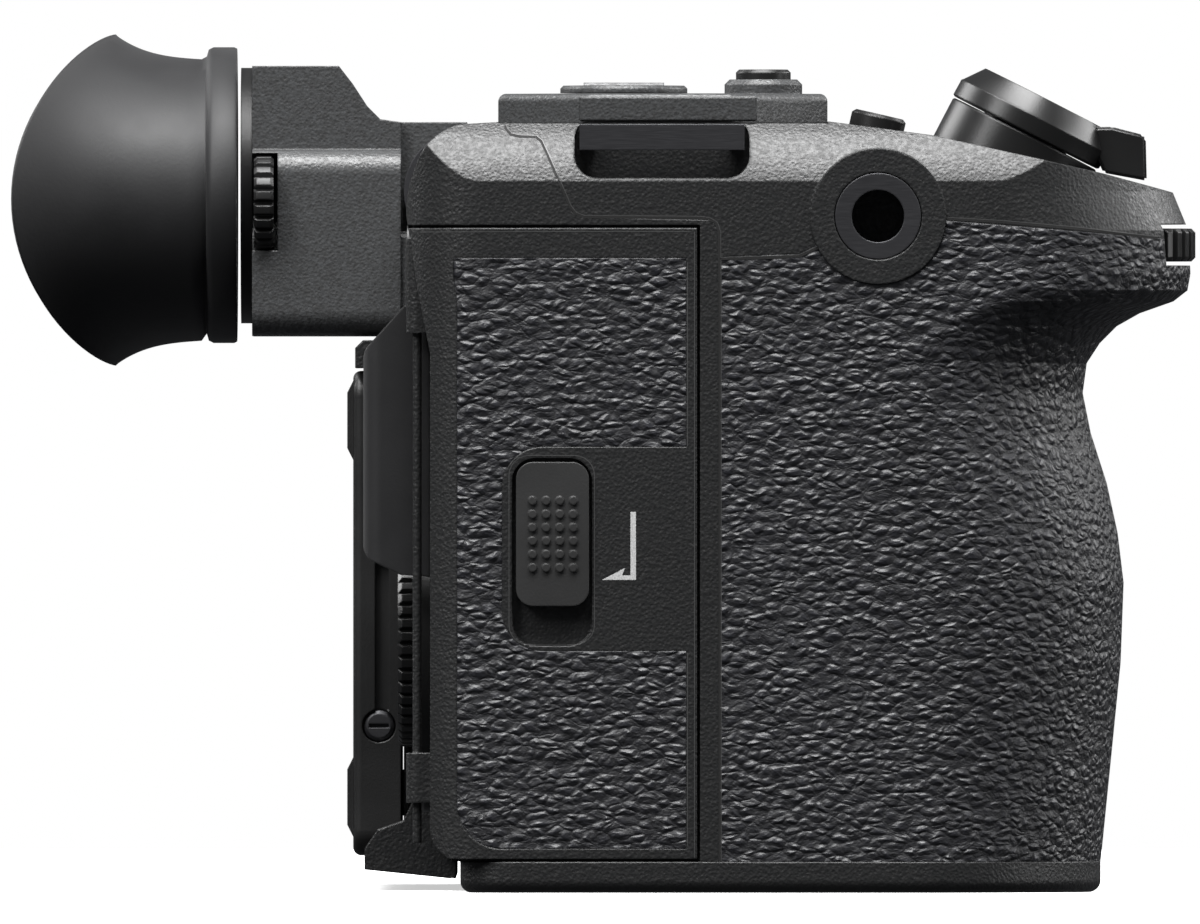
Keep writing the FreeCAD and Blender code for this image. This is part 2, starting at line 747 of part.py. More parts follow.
deck_path = [
    ("-deck_side", "-deck_front + 9.6"),
    ("-deck_side + 9", "-deck_front"),
    ("deck_inner - 6", "-deck_front"),
    ("deck_inner", "-deck_front + 6", "6"),
    ("deck_inner", "deck_rear - 6"),
    ("deck_inner - 6", "deck_rear", "6"),
    ("-deck_side + 8", "deck_rear"),
    ("-deck_side", "deck_rear - 9"),
]
slope_turn = Rotation(Vector(1, 0, 0), value("top_slope"))
zoom_turn = Rotation(Vector(1, 0, 0), value("zoom_slope"))
top_spots = ["-finger_line + 3.5", "-finger_line + 13"]
small_at = ("-11.4", "shoulder - 0.7")
lug_y = ("lug_middle - lug_long / 2", "lug_middle + lug_long / 2")


def lug_pocket(name, side):
    """The round-ended recess behind a strap bar, on the grip side or the left side."""
    path = round_rect((f"{lug_y[0]} - 0.5", f"{lug_y[1]} + 0.5"), ("shoulder - 5.8", "shoulder + 0.6"), "2.4")
    if side == "grip":
        return prism(name, "YZ", path, "-grip_reach - 1", "-grip_reach + 4.2")
    return prism(name, "YZ", path, "left_reach - 4.2", "left_reach + 1")


def lug_bar(name, side):
    """A strap bar along the mouth of its recess, with an end post at each side."""
    post = "-grip_reach" if side == "grip" else "left_reach - 4.2"
    face = ("-grip_reach + 0.2", "-grip_reach + 1.4") if side == "grip" else ("left_reach - 1.4", "left_reach - 0.2")
    bar = block(name + "_bar", face, lug_y, ("shoulder - 2.9", "shoulder - 0.3"))
    posts = []
    for number, start in enumerate((lug_y[0], f"{lug_y[1]} - 1.6")):
        posts.append(block(f"{name}_post_{number}", (f"{post} + 0.2", f"{post} + 4"), (start, f"{start} + 1.6"),
                           ("shoulder - 2.9", "shoulder - 0.3")))
    return join(name, bar, *posts)


def top_hole(name, x, y, radius, low, high):
    return rod(name, (x, y, low), "z", radius, f"({high}) - ({low})")


zoom_at = ("-finger_line", "-zoom_back", "zoom_level")
zoom_well = rod("zoom_well", zoom_at, zoom_turn, "zoom_radius + 0.4", "12")
shutter_well = rod("shutter_well", ("-finger_line", "-zoom_back + 4.5 * sin(zoom_slope)",
                                    "zoom_level - 4.5 * cos(zoom_slope)"),
                   zoom_turn, "shutter_radius + 0.3", "12")
wells = []
for number, spot in enumerate(top_spots):
    wells.append(rod(f"button_well_{number}", (spot, "-11.4 + 3 * sin(top_slope)", "shoulder - 3.7"), slope_turn,
                     "round_button + 0.25", "9"))
shoe_y = ("-3", "-3 + shoe_deep")
shoe_room = block("shoe_room", ("-shoe_wide / 2 + 4.5 - 1", "shoe_wide / 2 + 4.5 + 1"),
                  (shoe_y[0], f"{shoe_y[1]} + 1"), ("deck_top - 4", "deck_top + 2"))
deck_holes = [
    top_hole("knob_well", "-33", "13.9", "2.2", "shoulder - 1", "deck_top + 1"),
    top_hole("record_well", "-52", "-0.1", "record_radius + 0.2", "shoulder - 1", "deck_top + 3"),
    top_hole("top_socket_well", "-12.5", "20", "socket_flange + slip", "shoulder - 6", "deck_top + 1"),
]
deck_blank = prism("deck_blank", "XY", deck_path, "shoulder - 0.2", "deck_top")
deck_round = rounded("deck_round", deck_blank, "0.8", at_level("z", "deck_top"))
record_bezel = turned("record_bezel", [("record_radius + 0.2", "0"), ("record_ring", "0"), ("record_ring", "1"),
                                       ("record_ring - 0.5", "1.5"), ("record_radius + 0.2", "1.5")],
                      ("-52", "-0.1", "deck_top"))
top_deck = join("top_deck", cut("top_deck", deck_round, shoe_room, tilt_slot("tilt_slot_deck"), *deck_holes),
                record_bezel)
node(top_deck, "top_deck")

boss_ring = rod("boss_ring", ("-grip_reach - 0.2", "-boss_back", "boss_level"), "x", "boss_radius",
                "socket_depth + 2")
boss_socket = rod("boss_socket", ("-grip_reach - 1", "-boss_back", "boss_level"), "x",
                  "socket_flange", "socket_depth + 1")
top_blank = common("top_cover", form, top_region("top_zone", "0"))
low_half = block("finder_shelf", ("finder_line - finder_wide / 2 - 0.6", "finder_line + finder_wide / 2 + 0.6"),
                 ("tilt_back", "60"), ("40", "99"))
top_cover = cut(
    "top_cover", join("top_cover_blank", top_blank, boss_ring),
    boss_socket, zoom_well, shutter_well, *wells,
    ring_rod("boss_room", "-front_plane - 3", "-front_plane + 1", "boss_ring_radius - 1.5"),
    rod("dial_room", ("-finger_line", "-dial_reach + dial_radius", "dial_level - 0.4"), "z",
        "dial_radius + 0.6", "dial_thick + 0.8"),
    rod("dial_axle_room", ("-finger_line", "-dial_reach + dial_radius", "dial_level + dial_thick"), "z",
        "1.3", "3"),
    lug_pocket("lug_pocket_grip", "grip"), lug_pocket("lug_pocket_left", "left"),
    block("deck_seat", ("-90", "60"), ("-deck_front - 0", "deck_rear"), ("shoulder - 0.2", "90")),
    rod("tilt_room", tilt_spot, "x", "tilt_radius + slip", "finder_wide + 1.2"), tilt_slot("tilt_slot_top"),
    low_half,
    top_hole("knob_room", "-33", "13.9", "2.2", "shoulder - 4", "deck_top"),
    top_hole("record_room", "-52", "-0.1", "record_radius + 0.2", "shoulder - 4", "deck_top"),
    top_hole("top_socket_room", "-12.5", "20", "socket_flange + slip", "shoulder - 6", "deck_top"),
    top_hole("left_socket_room", "42", "-3", "socket_flange + slip", "shoulder - 7.2", "deck_top + 3"),
    block("shoe_under", ("-shoe_wide / 2 + 4.5 - 1", "shoe_wide / 2 + 4.5 + 1"),
          (shoe_y[0], f"{shoe_y[1]} + 1"), ("deck_top - 4", "deck_top + 2")),
)
node(top_cover, "top_cover")
node(group("strap_bars", [lug_bar("lug_grip", "grip"), lug_bar("lug_left", "left")]), "strap_bars")


def socket_insert(name, at, turn):
    """A flanged steel insert with the hole of a 1/4-20 thread."""
    return turned(name, [("socket_bore", "0"), ("socket_flange - 0.1", "0"), ("socket_flange - 0.1", "socket_depth"),
                         ("socket_bore", "socket_depth")], at, turn)


tripod_socket = turned("tripod_socket", [
    ("socket_bore", "0"), ("socket_flange + 1", "0"), ("socket_flange + 1", "base_thick"),
    ("socket_flange", "base_thick"), ("socket_flange", "socket_depth"), ("socket_bore", "socket_depth"),
], ("0", "0", "0"), "z")
node(group("socket_inserts", [
    tripod_socket,
    socket_insert("grip_socket", ("-grip_reach - 0.2", "-boss_back", "boss_level"), "x"),
    socket_insert("deck_socket", ("-12.5", "20", "deck_top"), "-z"),
    socket_insert("cover_socket", ("42", "-3", "shoulder"), "-z"),
]), "socket_inserts")

# Accessory shoe: a base and two overhanging rails
shoe_x = ("(4.5 - shoe_wide / 2)", "(4.5 + shoe_wide / 2)")
shoe_blank = prism("shoe_blank", "XZ", [
    (f"{shoe_x[0]} - 0.9", "deck_top - 4"),
    (f"{shoe_x[1]} + 0.9", "deck_top - 4"),
    (f"{shoe_x[1]} + 0.9", "deck_top"),
    ("4.5 + shoe_throat / 2", "deck_top"),
    ("4.5 + shoe_throat / 2", "deck_top - 1.1"),
    (shoe_x[1], "deck_top - 1.1"),
    (shoe_x[1], "deck_top - 1.1 - shoe_gap"),
    (shoe_x[0], "deck_top - 1.1 - shoe_gap"),
    (shoe_x[0], "deck_top - 1.1"),
    ("4.5 - shoe_throat / 2", "deck_top - 1.1"),
    ("4.5 - shoe_throat / 2", "deck_top"),
    (f"{shoe_x[0]} - 0.9", "deck_top"),
], shoe_y[0], shoe_y[1])
node(shoe_blank, "accessory_shoe")

# Mode knob, record button and the small round buttons
knob_disc = turned("knob_disc", [("0", "0.25"), ("knob_radius", "0.25"), ("knob_radius", "0.7"),
                                 ("knob_radius - 0.3", "1"), ("0", "1")], ("-33", "13.9", "deck_top"))
knob_bar = prism("knob_bar", "XZ", [
    ("-35", "deck_top + 0.8"), ("-31", "deck_top + 0.8"), ("-31.4", "deck_top + 1.3"), ("-34.6", "deck_top + 1.3"),
], "9.85", "17.95")
knob_stem = rod("knob_stem", ("-33", "13.9", "shoulder - 3"), "z", "1.9", "deck_top - shoulder + 3.5")
node(join("mode_knob", knob_disc, knob_bar, knob_stem), "mode_knob")
record_cap = turned("record_cap", [("0", "-5"), ("1.6", "-5"), ("1.6", "-2"), ("record_radius", "-2"),
                                   ("record_radius", "2.2"), ("record_radius - 0.3", "2.5"), ("0", "2.5")],
                    ("-52", "-0.1", "deck_top"))
node(record_cap, "record_button")
for number, spot in enumerate(top_spots):
    cap = turned(f"round_cap_{number}", [("0", "0.9"), ("round_button", "0.9"), ("round_button", "4.3"),
                                         ("round_button - 0.35", "4.6"), ("0", "4.6")],
                 (spot, "-11.4 + 3 * sin(top_slope)", "shoulder - 3.7"), slope_turn)
    node(cap, f"top_button_{number + 1}")

# Zoom lever round the shutter button
lever_ring = turned("lever_ring", [("shutter_radius + 0.35", "0.35"), ("zoom_radius", "0.35"),
                                   ("zoom_radius", "1.9"), ("6.6", "4.1"), ("shutter_radius + 0.35", "4.1")],
                    zoom_at, zoom_turn)
lever_tab = prism("lever_tab", "YZ", [("-12.4", "2.3"), ("-12", "4.2"), ("-9.4", "5.6"), ("-6.4", "3.9"),
                                      ("-6.4", "0.5")], "-2.6", "2.6")
place(lever_tab, zoom_at, zoom_turn)
node(join("zoom_lever", lever_ring, lever_tab), "zoom_lever")
shutter_cap = turned("shutter_cap", [("0", "-3"), ("shutter_radius", "-3"), ("shutter_radius", "4.2"),
                                     ("shutter_radius - 0.6", "4.8"), ("0", "4.5")], zoom_at, zoom_turn)
node(shutter_cap, "shutter_button")


def knurled(name, radius, thick, count, at, turn, axle):
    """A serrated dial on an axle."""
    dial = turned(name, [("0", "0"), ("(" + radius + ") - 0.4", "0"), (radius, "0.4"),
                         (radius, f"({thick}) - 0.4"), (f"({radius}) - 0.4", thick), ("1.2", thick),
                         ("1.2", f"({thick}) + ({axle})"), ("0", f"({thick}) + ({axle})")], at, turn)
    notch = [(f"({radius}) - 0.5", "0"), (f"({radius}) + 0.2", "-0.5"), (f"({radius}) + 0.2", "0.5")]
    return notched(dial, name, notch, "-0.1", f"({thick}) + 0.1", count)


node(knurled("front_dial_wheel", "dial_radius", "dial_thick", "32",
             ("-finger_line", "-dial_reach + dial_radius", "dial_level"), "z", "2.8"), "front_dial")


# Lens mount, shutter and sensor

def ring_at(name, path, y):
    """A revolved ring on the lens axis. Heights count forward from a depth."""
    return turned(name, path, ("0", y, "axis_level"), "-y")


mount_back = "(-flange_back + mount_thick)"
ring_blank = ring_at("ring_blank", [
    ("throat_radius", "0"), ("mount_radius", "0"), ("mount_radius", "mount_thick - 0.4"),
    ("mount_radius - 0.4", "mount_thick"), ("throat_radius", "mount_thick"),
], mount_back)
claws = []
for number in range(3):
    lean = -60 + 120 * number
    sweep = doc.addObject("Part::Cylinder", f"claw_{number}")
    bind(sweep, "Radius", "throat_radius + 0.2")
    bind(sweep, "Height", "claw_thick")
    sweep.Angle = 44
    core_rod = doc.addObject("Part::Cylinder", f"claw_core_{number}")
    bind(core_rod, "Radius", "throat_radius - claw_reach")
    bind(core_rod, "Height", "claw_thick")
    spin = TURNS["-y"].multiply(Rotation(Vector(0, 0, 1), lean))
    for piece in (sweep, core_rod):
        place(piece, ("0", f"{mount_back} - 0.2 - 0.8", "axis_level"), spin)
    claws.append(cut(f"claw_{number}", sweep, core_rod))
screw_spots = []
for lean in (45, 135, 225, 315):
    screw_spots.append((f"mount_screw_ring * cos({lean})", f"axis_level + mount_screw_ring * sin({lean})"))
screw_holes = [rod(f"mount_screw_hole_{n}", (x, f"{mount_back} - 7", z), "y", "screw_head", "9")
               for n, (x, z) in enumerate(screw_spots)]
screw_seats = [rod(f"mount_screw_seat_{n}", (x, "-flange_back - 1", z), "y", "screw_head + 0.1", "2.2")
               for n, (x, z) in enumerate(screw_spots)]
lock_spot = ("26.3", "axis_level - 11.2")
lock_hole = rod("lock_pin_hole", (lock_spot[0], "-flange_back - 1", lock_spot[1]), "y", "1.3 + slip", "6")
node(cut("lens_mount_ring", join("ring_with_claws", ring_blank, *claws), lock_hole, *screw_seats),
     "lens_mount_ring")
screws = []
for number, (x, z) in enumerate(screw_spots):
    head = turned(f"mount_screw_{number}", [("0", "0"), ("screw_head", "0"), ("screw_head", "0.9"),
                                            ("screw_head - 0.3", "1.1"), ("0", "1.1")],
                  (x, "-flange_back + 1.2", z), "-y")
    slot = block(f"mount_screw_slot_{number}", (f"{x} - 1", f"{x} + 1"), ("-flange_back - 1", "-flange_back + 0.55"),
                 (f"{z} - 0.2", f"{z} + 0.2"))
    screws.append(cut(f"mount_screw_{number}", head, slot))
node(group("mount_screws", screws), "mount_screws")

contact_blank = cut(
    "contact_arc",
    ring_at("contact_ring", [("throat_radius - 4.2", "-4"), ("throat_radius + 0.9", "-4"),
                             ("throat_radius + 0.9", "0"), ("throat_radius + 0.1", "0"),
                             ("throat_radius - 0.2", "-1"), ("throat_radius - 4.2", "-1")], mount_back),
    block("contact_top", ("-40", "40"), ("-40", "0"), ("axis_level - 14.5", "90")),
)
pads = []
for number in range(10):
    lean = 240 + 6.67 * number
    x, z = f"(throat_radius - 2.2) * cos({lean})", f"axis_level + (throat_radius - 2.2) * sin({lean})"
    pads.append(rod(f"contact_pad_{number}", (x, f"{mount_back} + 0.75", z), "y", "0.55", "0.5"))
node(cut("contact_block", contact_blank, *pads), "contact_block")
node(group("contact_pins", pads), "contact_pins")

chamber = (("-chamber_wide / 2", "chamber_wide / 2"),
           ("axis_level - chamber_high / 2", "axis_level + chamber_high / 2"))
window = (("-frame_wide / 2 - 1", "frame_wide / 2 + 1"), ("axis_level - frame_high / 2 - 1",
                                                         "axis_level + frame_high / 2 + 1"))
shutter_y = ("-shutter_front", "-shutter_front + shutter_thick")
node(cut("shutter_frame", block("shutter_blank", chamber[0], shutter_y, chamber[1]),
         block("shutter_window", window[0], ("-20", "0"), window[1])), "shutter_frame")
sensor_y = (shutter_y[1], f"{shutter_y[1]} + sensor_thick + 2")
node(cut("sensor_carrier", block("carrier_blank", chamber[0], sensor_y, chamber[1]),
         block("sensor_seat", ("-frame_wide / 2 - 0.6", "frame_wide / 2 + 0.6"),
               (f"{sensor_y[0]} - 1", f"{sensor_y[1]} - 1.4"),
               ("axis_level - frame_high / 2 - 0.6", "axis_level + frame_high / 2 + 0.6"))), "sensor_carrier")
node(block("sensor_chip", ("-frame_wide / 2 - 0.6", "frame_wide / 2 + 0.6"),
           (f"{sensor_y[1]} - 2.6", f"{sensor_y[1]} - 1.4"),
           ("axis_level - frame_high / 2 - 0.6", "axis_level + frame_high / 2 + 0.6")), "image_sensor")
node(block("sensor_glass_blank", ("-frame_wide / 2", "frame_wide / 2"),
           (f"{sensor_y[1]} - 4", f"{sensor_y[1]} - 2.6"),
           ("axis_level - frame_high / 2", "axis_level + frame_high / 2")), "sensor_glass")

release_cap = turned("release_cap", [("0", "-3"), ("release_radius", "-3"), ("release_radius", "2.4"),
                                     ("release_radius - 0.8", "3"), ("0", "2.6")],
                     ("33.2", "-front_plane - 0.2", "axis_level - 20"), "-y")
node(release_cap, "lens_release_button")
node(turned("lock_pin", [("0", "-5"), ("1.3", "-5"), ("1.3", "0.9"), ("1", "1.2"), ("0", "1.2")],
            (lock_spot[0], "-flange_back", lock_spot[1]), "-y"), "lens_lock_pin")

# Pieces inside the rear cover
board = block("board_plate", ("-28", "40"), ("5.5", "7.4"), ("8", "60"))
sink = block("sink_plate", ("-20", "20"), ("seam_depth - 0.4", "5.5"), ("axis_level - 15", "axis_level + 15"))
node(group("main_board", [board, sink]), "main_board")
hub = rod("fan_hub", ("26", "13", "30"), "y", "4.5", "6")
blades = []
for number in range(9):
    blade = block(f"fan_blade_{number}", ("0", "12.6"), ("0", "5"), ("-0.5", "0.5"))
    blade.Placement = Placement(Vector(), Rotation(Vector(0, 1, 0), 40 * number))
    bind(blade, "Placement.Base.x", f"26 + 0")
    bind(blade, "Placement.Base.y", "13.5")
    bind(blade, "Placement.Base.z", "30")
    blades.append(blade)
axle_hole = rod("fan_axle_hole", ("26", "12.9", "30"), "y", "0.9", "4")
node(cut("fan_rotor", join("fan_rotor", hub, *blades), axle_hole), "cooling_fan")
fan_axle = rod("fan_axle", ("26", "11", "30"), "y", "0.8", "5.6")


# Viewfinder, which tilts up about a pin across its front

finder_x = ("(finder_line - finder_wide / 2)", "(finder_line + finder_wide / 2)")
neck_front = "(rear_plane + 3.2)"
lower_path = [
    (neck_front, "finder_bottom"),
    ("finder_rear", "finder_bottom"),
    ("finder_rear", "finder_top - 8.5"),
    (neck_front, "finder_top - 8.5"),
]
lower_blank = prism("finder_lower", "YZ", lower_path, finder_x[0], finder_x[1])
lower_round = rounded("finder_lower_round", lower_blank, "2.5", along("y"))
upper_path = [
    ("36.5", "finder_top - 10"),
    ("finder_rear", "finder_top - 10"),
    ("finder_rear", "finder_top"),
    ("42.8", "finder_top"),
    ("41.4", "finder_top - 1.8"),
    ("39.9", "finder_top - 4.1"),
    ("38.6", "finder_top - 5.4"),
    ("36.5", "finder_top - 5.7"),
]
upper_blank = prism("finder_upper", "YZ", upper_path, f"{finder_x[0]} + 3", f"{finder_x[1]} - 3")
knuckle_x = (f"{finder_x[0]} + ear_thick + slip", f"{finder_x[1]} - ear_thick - slip")
neck = block("finder_neck", knuckle_x, ("tilt_back", f"{neck_front} + 1"),
             ("tilt_level - tilt_radius", "tilt_level + tilt_radius + 0.2"))
barrel = rod("finder_barrel", (knuckle_x[0], "tilt_back", "tilt_level"), "x", "tilt_radius",
             "finder_wide - 2 * ear_thick - 2 * slip")
tilt_pin_hole = rod("tilt_pin_hole", (f"{finder_x[0]} - 5", "tilt_back", "tilt_level"), "x", "1.5",
                    "finder_wide + 10")
eye_bore = rod("eye_bore", ("finder_line", "38", "finder_axis"), "y", "eyepiece_radius + 0.5", "20")
diopter_x = f"{finder_x[0]} + 1.4"
diopter_slot = rod("diopter_slot", (diopter_x, "finder_rear - diopter_thick - 0.6", "finder_axis - 0.8"), "y",
                   "diopter_radius + 0.3", "5")
node(cut("finder_housing", join("finder_housing", lower_round, upper_blank, neck, barrel),
         tilt_pin_hole, eye_bore, diopter_slot), "viewfinder_housing")
tilt_pin = rod("tilt_pin", (f"{finder_x[0]} + 1", "tilt_back", "tilt_level"), "x", "1.45", "finder_wide - 2")
ear_low, ear_round = "(tilt_radius + 0.2)", "(tilt_radius - 0.5)"
ears = []
for number, start in enumerate((finder_x[0], f"{finder_x[1]} - ear_thick")):
    ears.append(prism(f"finder_ear_{number}", "YZ", [
        (f"tilt_back - {ear_low}", "tilt_level"),
        ("tilt_back", f"tilt_level - {ear_low}", ear_low),
        ("tilt_back", f"tilt_level - {ear_round}"),
        (f"tilt_back + {ear_round}", "tilt_level", ear_round),
        ("tilt_back", f"tilt_level + {ear_round}", ear_round),
        (f"tilt_back - {ear_round}", "tilt_level", ear_round),
    ], start, f"{start} + ear_thick"))
node(join("finder_bracket", tilt_pin, *ears), "viewfinder_bracket")

# Eyepiece: frame, lens, display, diopter wheel and rubber cup
node(turned("eyepiece_frame", [("eyepiece_radius + 0.6", "0"), ("13", "0"), ("13", "1.2"),
                               ("eyepiece_radius - 0.6", "1.2"), ("eyepiece_radius - 0.6", "0.6"),
                               ("eyepiece_radius + 0.6", "0.6")],
            ("finder_line", "finder_rear", "finder_axis"), "y"), "eyepiece_frame")
node(turned("eyepiece_lens", [("0", "-1.4"), ("eyepiece_radius + 0.45", "-0.2"), ("eyepiece_radius + 0.45", "2.4"),
                              ("eyepiece_radius - 0.7", "2.4"), ("8", "2.95"), ("4.5", "3.4"), ("0", "3.55")],
            ("finder_line", "finder_rear - 2.5", "finder_axis"), "y"), "eyepiece_lens")
node(block("finder_display", ("finder_line - 6.5", "finder_line + 6.5"), ("38", "39.2"),
           ("finder_axis - 5", "finder_axis + 5")), "viewfinder_display")
diopter = turned("diopter", [("0", "0"), ("diopter_radius - 0.3", "0"), ("diopter_radius", "0.3"),
                             ("diopter_radius", "diopter_thick - 0.3"), ("diopter_radius - 0.3", "diopter_thick"),
                             ("0", "diopter_thick")],
                 (diopter_x, "finder_rear - diopter_thick - 0.2", "finder_axis - 0.8"), "y")
diopter_notch = [("diopter_radius - 0.55", "-0.1"), ("diopter_radius + 0.2", "-0.45"),
                 ("diopter_radius + 0.2", "0.45"), ("diopter_radius - 0.55", "0.1")]
node(notched(diopter, "diopter", diopter_notch, "-0.1", "diopter_thick + 0.1", "20"), "diopter_wheel")


def cup_section(name, y, wide, high):
    """An elliptical section of the eyecup across its axis."""
    sketch = doc.addObject("Sketcher::SketchObject", name)
    sketch.Placement = Placement(Vector(), Rotation(Vector(1, 0, 0), 90))
    bind(sketch, "Placement.Base.x", "finder_line")
    bind(sketch, "Placement.Base.y", y)
    bind(sketch, "Placement.Base.z", "finder_axis - 0.5")
    a, b = f"({wide}) / 2", f"({high}) / 2"
    path = []
    for lean in range(0, 360, 45):
        path.append((f"{a} * cos({lean})", f"{b} * sin({lean})"))
    return draw(sketch, path)


def oval(name, y, wide, high):
    """An ellipse-like outline of eight arcs, each through the ellipse's own points."""
    a, b = value(wide) / 2, value(high) / 2
    middle = Vector(value("finder_line"), value(y), value("finder_axis") - 0.5)
    spots = []
    for step in range(16):
        lean = math.radians(22.5 * step)
        spots.append(middle + Vector(a * math.cos(lean), 0, b * math.sin(lean)))
    edges = []
    for step in range(0, 16, 2):
        arc = Part.Arc(spots[step], spots[step + 1], spots[(step + 2) % 16])
        edges.append(arc.toShape())
    return Part.Wire(edges)


def cup_loft(name, steps):
    item = doc.addObject("Part::Feature", name)
    wires = [oval(name, y, wide, high) for y, wide, high in steps]
    item.Shape = Part.makeLoft(wires, True, True)
    return item


flange_y = "(finder_rear + 1.3)"
outer = cup_loft("cup_outer", [
    (flange_y, "finder_wide + 1", "29.6"),
    ("56.3", "finder_wide + 1.4", "29.6"),
    ("56.8", "finder_wide", "29.2"),
    ("60", "finder_wide + 1", "29.8"),
    ("63", "cup_wide - 6.5", "31.4"),
    ("65.4", "cup_wide - 4", "cup_high"),
    ("68", "cup_wide - 2", "cup_high + 1.4"),
    ("72", "cup_wide", "cup_high + 3"),
    ("cup_rear + 1", "cup_wide + 1", "cup_high + 4"),
])
inner = cup_loft("cup_inner", [
    ("50", "2 * eyepiece_radius + 1.6", "2 * eyepiece_radius - 0.4"),
    ("57", "2 * eyepiece_radius + 3", "2 * eyepiece_radius"),
    ("63", "cup_wide - 12", "cup_high - 8"),
    ("65.4", "cup_wide - 8.5", "cup_high - 4.6"),
    ("68", "cup_wide - 5.4", "cup_high - 2.2"),
    ("72", "cup_wide - 3.4", "cup_high - 0.4"),
    ("cup_rear + 2", "cup_wide - 2.4", "cup_high + 0.4"),
])
rim = prism("cup_rim", "YZ", [
    ("50", "finder_axis - 25"),
    ("65.6", "finder_axis - 25"),
    ("65.6", "finder_axis - 17"),
    ("cup_rear", "finder_axis - 0.5", "20"),
    ("65.6", "finder_axis + 16.5", "20"),
    ("65.6", "finder_axis + 25"),
    ("50", "finder_axis + 25"),
], "finder_line - 30", "finder_line + 30")
node(cut("eyecup", common("eyecup", outer, rim), inner), "eyecup")


# Monitor on its hinge at the left

monitor_x = ("-monitor_right", "monitor_left - 3.6")
monitor_z = ("monitor_low", "monitor_top")
shell_blank = prism("monitor_blank", "XZ", round_rect(monitor_x, monitor_z, "2.5"), "monitor_front", "monitor_rear")
shell_round = rounded("monitor_shell_round", shell_blank, "0.8", at_level("y", "monitor_rear"))
glass_x = (f"{monitor_x[0]} + 2.4", f"{monitor_x[1]} - 2.4")
glass_z = ("monitor_low + 3.6", "monitor_top - 3.6")
glass_hole = prism("glass_hole", "XZ", round_rect(glass_x, glass_z, "1.2"), "monitor_rear - 1.1", "monitor_rear + 1")
edge_groove = block("edge_groove", ("-monitor_right - 1", "-monitor_right + 0.8"),
                    ("monitor_front + 1.2", "monitor_front + 2.6"), ("18", "33"))
ribs = []
for number, middle in enumerate(("(monitor_top - 5)", "(monitor_low + 5.9)")):
    ribs.append(prism(f"monitor_rib_{number}", "YZ", [
        ("monitor_rear - 0.6", f"{middle} - 4.2"),
        ("monitor_rear - 0.1", f"{middle} - 4.2"),
        ("monitor_rear + 0.6", f"{middle} - 2.8"),
        ("monitor_rear + 0.6", f"{middle} + 2.8"),
        ("monitor_rear - 0.1", f"{middle} + 4.2"),
        ("monitor_rear - 0.6", f"{middle} + 4.2"),
    ], f"{monitor_x[0]} + 0.8", f"{monitor_x[0]} + 2.2"))
swing = ("swing_line", "swing_back")
screw_z = ("13.6", "45")
monitor_arm = block("monitor_arm", (f"{monitor_x[1]} - 1", "swing_line"), ("swing_back - 1.4", "swing_back + 1.4"),
                    ("12", "46.6"))
monitor_barrel = rod("monitor_barrel", (swing[0], swing[1], "12"), "z", "2.1", "34.6")
arm_screw_holes = [rod(f"arm_screw_hole_{n}", (f"{monitor_x[0]} - 1", "swing_back", level), "x", "1.7", "1.9")
                   for n, level in enumerate(("17.6 - 1.1",))]
swing_pin_hole = rod("swing_pin_hole", (swing[0], swing[1], "10"), "z", "0.9", "38")
node(cut("monitor_shell", join("monitor_shell", shell_round, monitor_arm, monitor_barrel, *ribs), glass_hole,
         edge_groove, swing_pin_hole, *arm_screw_holes), "monitor_shell")
node(prism("monitor_glass_blank", "XZ", round_rect(grown(glass_x, "-0.1"), grown(glass_z, "-0.1"), "1.1"),
           "monitor_rear - 1.1", "monitor_rear - 0.1"), "monitor_glass")
edge_screw = turned("edge_screw", [("0", "0"), ("1.55", "0"), ("1.55", "0.5"), ("1.2", "0.8"), ("0", "0.8")],
                    (f"{monitor_x[0]} + 0.9", "swing_back", "16.5"), "-x")
node(cut("monitor_screw", edge_screw, block("edge_screw_slot", (f"{monitor_x[0]} - 1", f"{monitor_x[0]} + 0.5"),
                                            ("swing_back - 1", "swing_back + 1"), ("16.3", "16.7"))),
     "monitor_screw")
lugs = []
for number, (low, high) in enumerate((("7", "11.7"), ("46.9", "52"))):
    lugs.append(prism(f"hinge_lug_{number}", "XY", [
        ("swing_line - 2.1", "rear_plane - 0.1"),
        ("swing_line + 2.1", "rear_plane - 0.1"),
        ("swing_line + 2.1", "swing_back"),
        ("swing_line", "swing_back + 2.1", "2.1 * 1.001"),
        ("swing_line - 2.1", "swing_back", "2.1 * 1.001"),
    ], low, high))
lug_strap = block("hinge_strap", ("swing_line - 2.1", "swing_line + 2.1"), ("rear_plane - 0.1", "rear_plane + 1.5"),
                  ("7", "52"))
swing_pin = rod("swing_pin", (swing[0], swing[1], "9"), "z", "0.85", "40")
node(join("monitor_hinge_pinned", cut("monitor_hinge", join("monitor_hinge", lug_strap, *lugs), form), swing_pin),
     "monitor_hinge_block")

# Thumb rest, chin and the rear cover itself
thumb_path = [
    ("rear_plane - 0.1", "thumb_low - 1.4"),
    ("rear_plane + 3", "thumb_low - 1.2"),
    ("thumb_rear", "thumb_low + 0.6"),
    ("thumb_rear", "54.2"),
    ("rear_plane + 2.6", "thumb_high"),
    ("rear_plane - 0.1", "thumb_high"),
]
thumb_blank = prism("thumb_blank", "YZ", thumb_path, "-grip_reach + 7.6", "-57.6")
thumb_round = rounded("thumb_round", thumb_blank, "1.8", at_level("y", "thumb_rear"))
node(cut("thumb_rest", thumb_round, form), "thumb_rest")
chin_path = [
    ("rear_plane - 2", "base_thick - 1.9"),
    ("rear_plane + 6.7", "base_thick - 1"),
    ("rear_plane + 6.7", "base_thick + 1.1"),
    ("rear_plane + 5.4", "base_thick + 3"),
    ("rear_plane + 2.8", "base_thick + 3.9"),
    ("rear_plane + 1.8", "base_thick + 6"),
    ("rear_plane - 2", "base_thick + 6"),
]
